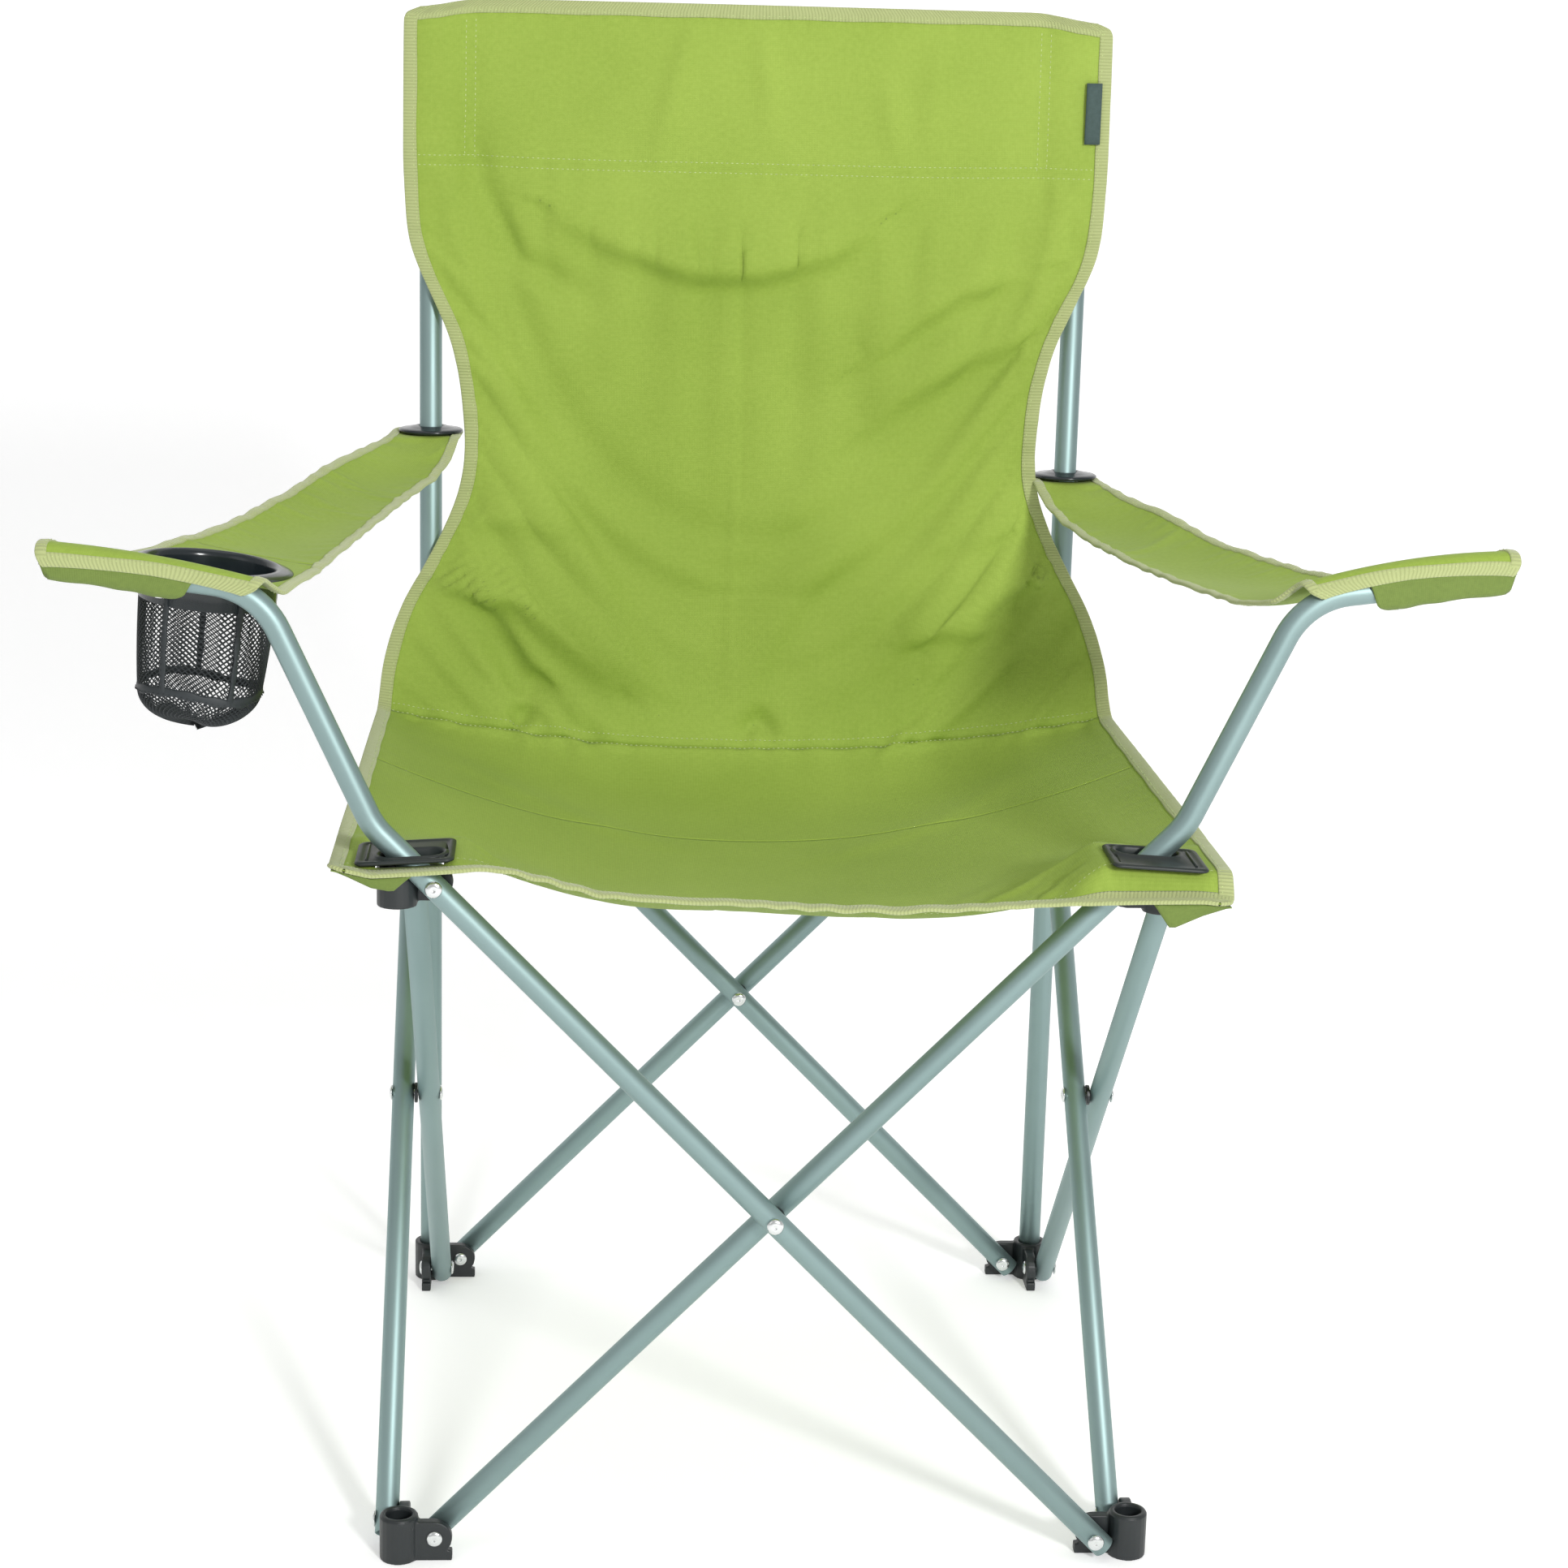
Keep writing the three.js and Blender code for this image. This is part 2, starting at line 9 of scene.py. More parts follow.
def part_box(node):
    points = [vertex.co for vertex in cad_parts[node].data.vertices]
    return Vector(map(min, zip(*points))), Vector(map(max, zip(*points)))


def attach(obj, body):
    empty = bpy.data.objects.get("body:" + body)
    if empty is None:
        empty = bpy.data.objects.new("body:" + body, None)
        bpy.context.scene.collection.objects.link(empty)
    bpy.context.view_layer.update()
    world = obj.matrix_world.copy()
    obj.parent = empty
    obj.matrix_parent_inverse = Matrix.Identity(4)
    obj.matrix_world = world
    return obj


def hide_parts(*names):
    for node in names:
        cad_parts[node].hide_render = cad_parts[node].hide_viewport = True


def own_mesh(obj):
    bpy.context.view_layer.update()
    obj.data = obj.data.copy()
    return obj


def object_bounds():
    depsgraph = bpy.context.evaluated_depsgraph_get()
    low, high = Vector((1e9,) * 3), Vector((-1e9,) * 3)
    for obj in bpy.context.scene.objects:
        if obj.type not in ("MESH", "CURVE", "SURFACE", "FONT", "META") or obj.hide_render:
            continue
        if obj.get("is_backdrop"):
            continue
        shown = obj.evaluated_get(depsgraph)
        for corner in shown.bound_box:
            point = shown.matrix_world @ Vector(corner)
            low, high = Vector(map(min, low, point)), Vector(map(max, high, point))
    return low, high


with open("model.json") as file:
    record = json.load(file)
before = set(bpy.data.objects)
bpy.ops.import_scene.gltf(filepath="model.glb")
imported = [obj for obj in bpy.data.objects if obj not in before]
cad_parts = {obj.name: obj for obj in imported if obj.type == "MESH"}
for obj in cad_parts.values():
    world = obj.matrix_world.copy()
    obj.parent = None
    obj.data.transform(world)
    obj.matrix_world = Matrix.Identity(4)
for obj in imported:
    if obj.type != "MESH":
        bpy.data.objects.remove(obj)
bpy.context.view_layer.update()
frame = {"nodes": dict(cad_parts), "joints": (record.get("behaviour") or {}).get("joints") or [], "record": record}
JOINT = {j["name"]: j for j in frame["joints"]}
BODIES = frame["record"]["behaviour"]["bodies"]
BODY_OF = {n: b for b, nodes in BODIES.items() for n in nodes}
MM = 0.001

CORNER = JOINT["fold"]["pos_m"][1] / MM
PIVOT = -JOINT["fold"]["pos_m"][0] / MM
FOOT_Z = JOINT["fold"]["pos_m"][2] / MM
HUB_Z = JOINT["rear_right_hub_turn"]["pos_m"][2] / MM
FRONT_LEFT_PLANE = sum(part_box("front_tube_left_arm")[k].y for k in (0, 1)) / 2 / MM
FRONT_RIGHT_PLANE = sum(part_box("front_tube_right_arm")[k].y for k in (0, 1)) / 2 / MM


# ---------------------------------------------------------------- materials

def new_material(name):
    mat = bpy.data.materials.new(name)
    mat.use_nodes = True
    tree = mat.node_tree
    bsdf = next(n for n in tree.nodes if n.type == "BSDF_PRINCIPLED")
    return mat, tree, bsdf


def node(tree, kind, **inputs):
    made = tree.nodes.new(kind)
    for key, value in inputs.items():
        if key.startswith("p_"):
            setattr(made, key[2:], value)
        else:
            made.inputs[key.replace("_", " ")].default_value = value
    return made


def math_node(tree, operation, a, b=None, clamp=False):
    made = tree.nodes.new("ShaderNodeMath")
    made.operation = operation
    made.use_clamp = clamp
    for i, value in enumerate((a, b)):
        if value is None:
            continue
        if isinstance(value, (int, float)):
            made.inputs[i].default_value = value
        else:
            tree.links.new(value, made.inputs[i])
    return made.outputs[0]


def mixed_colour(tree, factor, a, b):
    mix = tree.nodes.new("ShaderNodeMix")
    mix.data_type = "RGBA"
    mix.inputs[6].default_value = (*a, 1)
    mix.inputs[7].default_value = (*b, 1)
    tree.links.new(factor, mix.inputs[0])
    return mix.outputs[2]


def bump(tree, bsdf, height, distance, strength=1.0, normal=None):
    made = tree.nodes.new("ShaderNodeBump")
    made.inputs["Strength"].default_value = strength
    made.inputs["Distance"].default_value = distance
    tree.links.new(height, made.inputs["Height"])
    if normal is not None:
        tree.links.new(normal, made.inputs["Normal"])
    tree.links.new(made.outputs[0], bsdf.inputs["Normal"])
    return made.outputs[0]


def uv_axes(tree):
    uv = tree.nodes.new("ShaderNodeUVMap")
    uv.uv_map = "cut"
    split = tree.nodes.new("ShaderNodeSeparateXYZ")
    tree.links.new(uv.outputs[0], split.inputs[0])
    return uv.outputs[0], split.outputs[0], split.outputs[1]


def noise(tree, vector, scale, detail=3.0, rough=0.55):
    made = node(tree, "ShaderNodeTexNoise", Scale=scale, Detail=detail, Roughness=rough)
    tree.links.new(vector, made.inputs["Vector"])
    return made.outputs[0]


def threads(tree, along, pitch):
    """Rounded threads side by side: 0 in the gaps, 1 on the crowns."""
    turns = math_node(tree, "MULTIPLY", along, math.pi / pitch)
    return math_node(tree, "ABSOLUTE", math_node(tree, "SINE", turns))


def cloth_material(name, light, dark, pitch=0.0011, depth=0.00016, sheen=0.05, rough=0.78):
    mat, tree, bsdf = new_material(name)
    vector, u, v = uv_axes(tree)
    warp, weft = threads(tree, u, pitch), threads(tree, v, pitch * 1.15)
    weave = math_node(tree, "MULTIPLY", warp, weft)
    cloudy = noise(tree, vector, 7.0, 3.0)
    slub = noise(tree, vector, 330.0, 2.0, 0.6)
    tone = math_node(tree, "ADD", math_node(tree, "MULTIPLY", cloudy, 0.6),
                     math_node(tree, "MULTIPLY", slub, 0.4))
    ramp = tree.nodes.new("ShaderNodeMapRange")
    ramp.inputs["From Min"].default_value = 0.33
    ramp.inputs["From Max"].default_value = 0.67
    tree.links.new(tone, ramp.inputs["Value"])
    crown = math_node(tree, "ADD", math_node(tree, "MULTIPLY", weave, 0.45), 0.62)
    shade = math_node(tree, "MULTIPLY", ramp.outputs[0], crown)
    tree.links.new(mixed_colour(tree, shade, dark, light), bsdf.inputs["Base Color"])
    fine = bump(tree, bsdf, weave, depth, 0.6)
    creases = noise(tree, vector, 42.0, 5.0, 0.6)
    bump(tree, bsdf, creases, 0.0011, 0.35, fine)
    bsdf.inputs["Roughness"].default_value = rough
    bsdf.inputs["Sheen Weight"].default_value = sheen
    bsdf.inputs["Sheen Roughness"].default_value = 0.4
    bsdf.inputs["Specular IOR Level"].default_value = 0.3
    return mat


def tape_material(name, light, dark):
    mat, tree, bsdf = new_material(name)
    vector, u, v = uv_axes(tree)
    ribs = threads(tree, u, 0.0021)
    fuzz = noise(tree, vector, 420.0, 3.0, 0.7)
    worn = noise(tree, vector, 22.0, 4.0)
    tone = math_node(tree, "ADD", math_node(tree, "MULTIPLY", ribs, 0.5),
                     math_node(tree, "MULTIPLY", math_node(tree, "ADD", fuzz, worn), 0.4), True)
    tree.links.new(mixed_colour(tree, tone, dark, light), bsdf.inputs["Base Color"])
    first = bump(tree, bsdf, ribs, 0.0004, 0.8)
    bump(tree, bsdf, fuzz, 0.0003, 0.4, first)
    bsdf.inputs["Roughness"].default_value = 0.88
    bsdf.inputs["Sheen Weight"].default_value = 0.3
    return mat


def metal_material(name, light, dark, rough, metallic, speckle=0.15):
    mat, tree, bsdf = new_material(name)
    place = tree.nodes.new("ShaderNodeTexCoord")
    large = noise(tree, place.outputs["Object"], 14.0, 5.0, 0.6)
    fine = noise(tree, place.outputs["Object"], 900.0, 2.0, 0.6)
    tree.links.new(mixed_colour(tree, large, dark, light), bsdf.inputs["Base Color"])
    wear = math_node(tree, "ADD", math_node(tree, "MULTIPLY", large, speckle), rough - speckle / 2)
    tree.links.new(wear, bsdf.inputs["Roughness"])
    bump(tree, bsdf, fine, 0.00008, 0.25)
    bsdf.inputs["Metallic"].default_value = metallic
    return mat


def plastic_material(name, colour, rough, grain=0.00012):
    mat, tree, bsdf = new_material(name)
    place = tree.nodes.new("ShaderNodeTexCoord")
    large = noise(tree, place.outputs["Object"], 60.0, 4.0, 0.6)
    fine = noise(tree, place.outputs["Object"], 1500.0, 2.0, 0.6)
    lighter = tuple(min(1.0, c * 1.7 + 0.004) for c in colour)
    tree.links.new(mixed_colour(tree, large, colour, lighter), bsdf.inputs["Base Color"])
    wear = math_node(tree, "ADD", math_node(tree, "MULTIPLY", large, 0.2), rough - 0.1)
    tree.links.new(wear, bsdf.inputs["Roughness"])
    bump(tree, bsdf, fine, grain, 0.4)
    return mat


CLOTH = cloth_material("cloth_green", (0.345, 0.468, 0.080), (0.255, 0.366, 0.050))
CLOTH_BACK = cloth_material("cloth_green_reverse", (0.270, 0.365, 0.068), (0.200, 0.285, 0.045))
# a darker copy of the green cloth, painted shade for the cloth that lies under the seat corners and the arms
CLOTH_PAINTED_SHADE = cloth_material("cloth_green_painted_shade", (0.190, 0.265, 0.058), (0.135, 0.195, 0.042))
TAPE = tape_material("tape_khaki", (0.420, 0.470, 0.205), (0.310, 0.355, 0.135))
THREAD = tape_material("thread_khaki", (0.520, 0.620, 0.260), (0.370, 0.460, 0.170))
TAG = cloth_material("tag_grey", (0.085, 0.13, 0.125), (0.05, 0.08, 0.075), 0.0006)
STEEL = metal_material("tube_silver", (0.300, 0.405, 0.400), (0.235, 0.330, 0.325), 0.50, 0.82)
BRIGHT = metal_material("rivet_bright", (0.80, 0.82, 0.81), (0.66, 0.68, 0.68), 0.22, 0.95, 0.1)
PLASTIC = plastic_material("plastic_black", (0.010, 0.013, 0.014), 0.42)
GLOSS = plastic_material("plastic_black_gloss", (0.008, 0.012, 0.014), 0.20, 0.00003)
RIBBED = plastic_material("plastic_plate", (0.008, 0.012, 0.011), 0.48, 0.00006)
NET = plastic_material("net_black", (0.012, 0.016, 0.018), 0.55)


# ---------------------------------------------------------------- meshes

def make(name, points, faces, mats, uv=None, mat_index=None, smooth=True):
    """A mesh object from points in millimetres; uv is one pair in metres per point."""
    mesh = bpy.data.meshes.new(name)
    points = np.asarray(points, float) * MM
    mesh.from_pydata(points.tolist(), [], [list(map(int, f)) for f in faces])
    mesh.update()
    for mat in mats if isinstance(mats, (list, tuple)) else [mats]:
        mesh.materials.append(mat)
    if mat_index is not None:
        mesh.polygons.foreach_set("material_index", np.asarray(mat_index, np.int32))
    if uv is not None:
        layer = mesh.uv_layers.new(name="cut")
        index = np.zeros(len(mesh.loops), np.int32)
        mesh.loops.foreach_get("vertex_index", index)
        layer.data.foreach_set("uv", np.asarray(uv, np.float32)[index].ravel())
    if smooth:
        mesh.shade_smooth()
    obj = bpy.data.objects.new(name, mesh)
    bpy.context.scene.collection.objects.link(obj)
    return obj


def grid_faces(rows, columns, wrap=False):
    faces = []
    for i in range(rows - 1):
        for j in range(columns if wrap else columns - 1):
            k = (j + 1) % columns
            faces.append((i * columns + j, i * columns + k, (i + 1) * columns + k, (i + 1) * columns + j))
    return faces


def finish_piece(obj, body, nodes=(), squash=None):
    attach(obj, body)
    if nodes:
        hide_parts(*nodes)
    if squash:
        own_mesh(obj)
    return obj


def applied(obj):
    """Bakes obj's modifiers into its mesh."""
    graph = bpy.context.evaluated_depsgraph_get()
    graph.update()
    mesh = bpy.data.meshes.new_from_object(obj.evaluated_get(graph))
    obj.modifiers.clear()
    obj.data = mesh
    return obj


def lathe(profile, segments=48, centre=(0, 0, 0), axis="z", squeeze=(1, 1)):
    """Points and faces of a turned shape; profile is a list of (radius, height)."""
    points, n = [], len(profile)
    for k in range(segments):
        a = 2 * math.pi * k / segments
        for r, h in profile:
            x, y = r * math.cos(a) * squeeze[0], r * math.sin(a) * squeeze[1]
            points.append({"z": (x, y, h), "y": (x, h, y), "x": (h, x, y)}[axis])
    points = np.array(points) + np.array(centre)
    faces = []
    for k in range(segments):
        m = (k + 1) % segments
        for i in range(n - 1):
            quad = (k * n + i, m * n + i, m * n + i + 1, k * n + i + 1)
            faces.append(quad if axis != "y" else quad[::-1])
    return points, faces


def sweep(path, normal, radius, wall=0.9, segments=32, depth=16):
    """A round open tube along points in one plane, with its rolled end lips."""
    path = [np.array(p, float) for p in path]
    normal = np.array(normal, float)
    rings = []
    count = len(path)
    for i, p in enumerate(path):
        along = path[min(i + 1, count - 1)] - path[max(i - 1, 0)]
        along /= np.linalg.norm(along)
        rings.append((p, along, radius))
    first, last = rings[0], rings[-1]

    def inside(ring, way):
        p, along, _ = ring
        return [
            (p, along, radius),
            (p + way * along * 0.25, along, radius - 0.3),
            (p + way * along * 0.2, along, radius - wall),
            (p - way * along * depth, along, radius - wall),
            (p - way * along * depth, along, 0.05),
        ]

    start = [(p, a, r) for p, a, r in inside(first, -1)][::-1]
    rings = start + rings[1:-1] + inside(last, 1)
    points = []
    for p, along, r in rings:
        side = np.cross(along, normal)
        for k in range(segments):
            t = 2 * math.pi * k / segments
            points.append(p + side * r * math.cos(t) + normal * r * math.sin(t))
    return np.array(points), grid_faces(len(rings), segments, True)


def rounded(corners, radius, steps=12):
    corners = [np.array(c, float) for c in corners]
    out = [corners[0]]
    for before, c, after in zip(corners, corners[1:], corners[2:]):
        back = (before - c) / np.linalg.norm(before - c)
        on = (after - c) / np.linalg.norm(after - c)
        half = math.acos(float(back @ on)) / 2
        reach = radius / math.tan(half)
        middle = (back + on) / np.linalg.norm(back + on)
        centre = c + middle * radius / math.sin(half)
        a, b = c + back * reach - centre, c + on * reach - centre
        whole = math.pi - 2 * half
        for k in range(steps + 1):
            t = k / steps
            out.append(centre + a * math.sin((1 - t) * whole) / math.sin(whole)
                       + b * math.sin(t * whole) / math.sin(whole))
    out.append(corners[-1])
    return out


# ---------------------------------------------------------------- frame tubes

TUBE_R = (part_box("left_cross_tube_a")[1].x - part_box("left_cross_tube_a")[0].x) / 2 / MM * 1.026
LEAN = math.atan2(HUB_Z - FOOT_Z, 2 * PIVOT)
ARM_BENDS = [(230, 448.7), (291.3, 581.3), (404, 595.5)]
CROSS = {
    "rear_cross_tube_a": ("x", -1, 0),
    "rear_cross_tube_b": ("x", 1, 0),
    "left_cross_tube_a": ("y", 1, 0),
    "left_cross_tube_b": ("y", -1, 0),
    "right_cross_tube_a": ("y", 1, 0),
    "right_cross_tube_b": ("y", -1, 0),
    "front_tube_right_arm": ("x", -1, 1),
    "front_tube_left_arm": ("x", 1, -1),
}
for name, (run, foot, arm) in CROSS.items():
    low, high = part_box(name)
    plane = ((low + high) / 2)[1 if run == "x" else 0] / MM

    def at(s, z):
        return (s, plane, z) if run == "x" else (plane, s, z)

    c, s = math.cos(LEAN) * 8.5, math.sin(LEAN) * 8.5
    corners = [at(foot * (PIVOT + c), FOOT_Z - s), at(-foot * (PIVOT + c), HUB_Z + s)]
    if arm:
        corners = [corners[0], *[at(arm * x, z) for x, z in ARM_BENDS]]
    path = rounded(corners, 45)
    normal = (0, 1, 0) if run == "x" else (1, 0, 0)
    points, faces = sweep(path, normal, TUBE_R)
    finish_piece(make(name + "_skin", points, faces, STEEL), BODY_OF[name], [name])

for side, sx in (("left", -1), ("right", 1)):
    low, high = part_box("upright_" + side)
    points, faces = sweep([(sx * CORNER, CORNER, low.z / MM), (sx * CORNER, CORNER, high.z / MM)],
                          (1, 0, 0), 7.5)
    finish_piece(make(f"upright_{side}_skin", points, faces, STEEL), BODY_OF["upright_" + side],
                 ["upright_" + side])

# Rivets: domed heads with a small dimple, on a shank.
for name in [n for n in BODY_OF if n.startswith("rivet_")]:
    low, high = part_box(name)
    size = high - low
    k = max(range(3), key=lambda i: size[i])
    centre = ((low + high) / 2) / MM
    half = size[k] / 2 / MM
    head = [(4.85, -1.7), (4.9, -1.45), (4.3, -0.75), (3.2, -0.25), (2.0, 0.0), (1.2, -0.05), (0.7, -0.35),
            (0.02, -0.45)]
    profile = [(r, -half - h) for r, h in head[::-1]] + [(2.2, -half + 1.7), (2.2, half - 1.7)]
    profile += [(r, half + h) for r, h in head]
    axis = "xyz"[k]
    points, faces = lathe(profile, 28, tuple(centre), axis)
    finish_piece(make(name + "_skin", points, faces, BRIGHT), BODY_OF[name], [name])


# ---------------------------------------------------------------- mouldings

def moulded(name, mat, voxel=0.65, rounds=5):
    """The moulded part with softened edges, from the CAD solid."""
    source = frame["nodes"][name]
    mesh = source.data.copy()
    obj = bpy.data.objects.new(name + "_moulding", mesh)
    bpy.context.scene.collection.objects.link(obj)
    weld = obj.modifiers.new("weld", "WELD")
    weld.merge_threshold = 0.00001
    remesh = obj.modifiers.new("remesh", "REMESH")
    remesh.mode = "VOXEL"
    remesh.voxel_size = voxel * MM
    smooth = obj.modifiers.new("smooth", "SMOOTH")
    smooth.factor = 0.5
    smooth.iterations = rounds
    applied(obj)
    obj.data.materials.clear()
    obj.data.materials.append(mat)
    obj.data.shade_smooth()
    return finish_piece(obj, BODY_OF[name], [name])


MOULDED = [n for n in BODY_OF if n.startswith(("foot_", "hub_"))]
for name in MOULDED:
    moulded(name, PLASTIC)
for name in [n for n in BODY_OF if n.startswith(("spacer_", "upright_plug_"))]:
    frame["nodes"][name].data.materials.clear()
    frame["nodes"][name].data.materials.append(PLASTIC)

for place in ("front_left", "front_right", "rear_left", "rear_right"):
    low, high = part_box("foot_" + place)
    sx = -1 if "left" in place else 1
    sy = -1 if "front" in place else 1
    top = high.z / MM
    if place.startswith("front"):
        profile = [(7.9, top - 6), (7.9, top + 0.3), (8.3, top + 0.9), (9.6, top + 1.0), (10.6, top + 0.6),
                   (11.2, top - 0.8), (11.4, top - 2.2)]
        points, faces = lathe(profile, 40, (sx * CORNER, sy * CORNER, 0))
        finish_piece(make(f"foot_{place}_rim", points, faces, PLASTIC), BODY_OF["foot_" + place])


def oval(hx, hy, corner, count=64):
    """A rounded rectangle's outline, counter-clockwise."""
    out = []
    corner = min(corner, hx, hy)
    for qx, qy, start in ((1, 1, 0), (-1, 1, 90), (-1, -1, 180), (1, -1, 270)):
        for k in range(count // 4):
            a = math.radians(start + 90 * k / (count // 4 - 1))
            out.append((qx * (hx - corner) + corner * math.cos(a), qy * (hy - corner) + corner * math.sin(a)))
    return np.array(out)


CORNER_SLOPE = 0.06


def plate(side, sx):
    """The ribbed slotted plate at a front corner of the seat."""
    low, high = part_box("corner_plate_" + side)
    cx, cy = (low.x + high.x) / 2 / MM, (low.y + high.y) / 2 / MM
    hx, hy = (high.x - low.x) / 2 / MM - 0.5, (high.y - low.y) / 2 / MM - 0.5
    z = low.z / MM
    plane = (FRONT_LEFT_PLANE if sx < 0 else FRONT_RIGHT_PLANE) - cy
    slot_x = sx * 208.5 - cx
    steps = [
        (hx - 0.8, hy - 0.8, 4.5, 0.0), (hx, hy, 5.0, 0.5), (hx, hy, 5.0, 1.6),
        (hx - 0.9, hy - 0.9, 4.5, 2.3),
        (hx - 3.0, hy - 3.0, 4.0, 2.4), (hx - 3.8, hy - 3.8, 3.6, 1.8), (hx - 5.5, hy - 5.5, 3, 1.8),
    ]
    rows = []
    for a, b, r, h in steps:
        ring = oval(a, b, r)
        rows.append(np.column_stack([ring[:, 0], ring[:, 1], np.full(len(ring), h)]))
    for grow, h in ((3.6, 1.8), (2.9, 2.8), (1.8, 3.4), (0.7, 3.1), (0.0, 2.0), (0.2, -1.6)):
        ring = oval(17.8 + grow, 8.4 + grow, 8.4 + grow)
        rows.append(np.column_stack([ring[:, 0] + slot_x, ring[:, 1] + plane, np.full(len(ring), h)]))
    obj_points = np.concatenate(rows)
    ribs, rib_faces = [], []
    base = len(obj_points)
    for k in range(3):
        for end in (-1, 1):
            x = end * (hx - 6.4 - 2.6 * k)
            if abs(x - slot_x) < 23:
                continue
            ring = oval(0.7, hy - 7.0 - 1.2 * k, 0.7, 16)
            start = base + len(ribs)
            for h, f in ((1.6, 1.3), (2.5, 0.85), (2.7, 0.3)):
                ribs.extend([(x + px * f, py, h) for px, py in ring])
            rib_faces += [tuple(start + i for i in face) for face in grid_faces(3, len(ring), True)]
            rib_faces.append(tuple(start + 2 * len(ring) + i for i in range(len(ring))))
    points = np.concatenate([obj_points, np.array(ribs).reshape(-1, 3)])
    turned = points.copy()
    turned[:, 2] += -sx * CORNER_SLOPE * points[:, 0]
    turned += np.array([cx, cy, z])
    faces = grid_faces(len(rows), 64, True) + rib_faces
    obj = make("corner_plate_" + side + "_skin", turned, faces, RIBBED)
    return finish_piece(obj, BODY_OF["corner_plate_" + side], ["corner_plate_" + side])


for side, sx in (("left", -1), ("right", 1)):
    plate(side, sx)

# ---------------------------------------------------------------- cloth

def cloth_sim(obj, pins, frames=46, grow=0.012, gravity=1.0, bend=0.6):
    """Lets the cloth settle from its cut shape, held where pins is 1, and keeps the settled mesh."""
    group = obj.vertex_groups.new(name="held")
    for weight in np.unique(np.round(pins, 2)):
        if weight > 0:
            group.add([int(i) for i in np.where(np.round(pins, 2) == weight)[0]], float(weight), "REPLACE")
    cloth = obj.modifiers.new("Cloth", "CLOTH")
    s = cloth.settings
    s.vertex_group_mass = "held"
    s.shrink_min = -grow
    s.quality = 7
    s.mass = 0.12
    s.tension_stiffness = 22
    s.compression_stiffness = 14
    s.shear_stiffness = 9
    s.bending_stiffness = bend
    s.air_damping = 2.5
    s.effector_weights.gravity = gravity
    cloth.collision_settings.use_collision = False
    cloth.point_cache.frame_start = 1
    cloth.point_cache.frame_end = frames
    scene = bpy.context.scene
    scene.frame_start, scene.frame_end = 1, frames
    for f in range(1, frames + 1):
        scene.frame_set(f)
    graph = bpy.context.evaluated_depsgraph_get()
    settled = obj.evaluated_get(graph).to_mesh()
    co = np.zeros(len(settled.vertices) * 3, np.float32)
    settled.vertices.foreach_get("co", co)
    obj.evaluated_get(graph).to_mesh_clear()
    obj.modifiers.clear()
    obj.vertex_groups.clear()
    scene.frame_set(1)
    obj.data.vertices.foreach_set("co", co)
    obj.data.update()


def settle(name, grid, pins, **how):
    """Simulates a grid of points (rows, columns, 3) in millimetres and returns the settled grid."""
    obj = make(name, grid.reshape(-1, 3), grid_faces(*grid.shape[:2]), CLOTH)
    cloth_sim(obj, pins.ravel(), **how)
    co = np.zeros(len(obj.data.vertices) * 3, np.float32)
    obj.data.vertices.foreach_get("co", co)
    bpy.data.objects.remove(obj)
    return co.reshape(grid.shape).astype(float) / MM


def normals_of(grid):
    du = np.gradient(grid, axis=1)
    dv = np.gradient(grid, axis=0)
    n = np.cross(du, dv)
    return n / np.maximum(np.linalg.norm(n, axis=2, keepdims=True), 1e-9)


def lengths(points):
    step = np.linalg.norm(np.diff(points, axis=0), axis=1)
    return np.concatenate([[0], np.cumsum(step)])


def tape(edge, middle, inner, normal, thick=0.7, lift=0.5):
    """A folded tape along an edge: points, faces and uv. The three lines run along the edge, at its
    rim, half way in and at the tape's inner edge."""
    out = edge - inner
    out /= np.maximum(np.linalg.norm(out, axis=1, keepdims=True), 1e-9)
    up = normal
    a = lift + thick
    wander = 0.25 * np.sin(lengths(edge) * 0.11 + edge[0, 0])[:, None]
    inner = inner - out * wander
    rows = [
        inner + up * (lift * 0.4), inner + up * a * 0.9, inner * 0.8 + middle * 0.2 + up * a,
        middle + up * (a + 0.15),
        edge + up * a * 1.05, edge + up * a * 0.75 + out * 0.6, edge + up * a * 0.3 + out * 0.95,
        edge - up * a * 0.3 + out * 0.95, edge - up * a * 0.75 + out * 0.6, edge - up * a * 1.05,
        middle - up * (a + 0.15), inner - up * a * 0.9, inner - up * (lift * 0.4),
    ]
    points = np.stack(rows, axis=1)
    along = lengths(edge)
    across = np.array([0, 0.5, 1.2, 4.4, 8, 9, 9.6, 10.2, 10.8, 11.8, 15.4, 19.2, 19.7])
    uv = np.stack(np.broadcast_arrays(along[:, None], across[None, :]), axis=2) * MM
    return points.reshape(-1, 3), grid_faces(len(edge), len(rows)), uv.reshape(-1, 2)


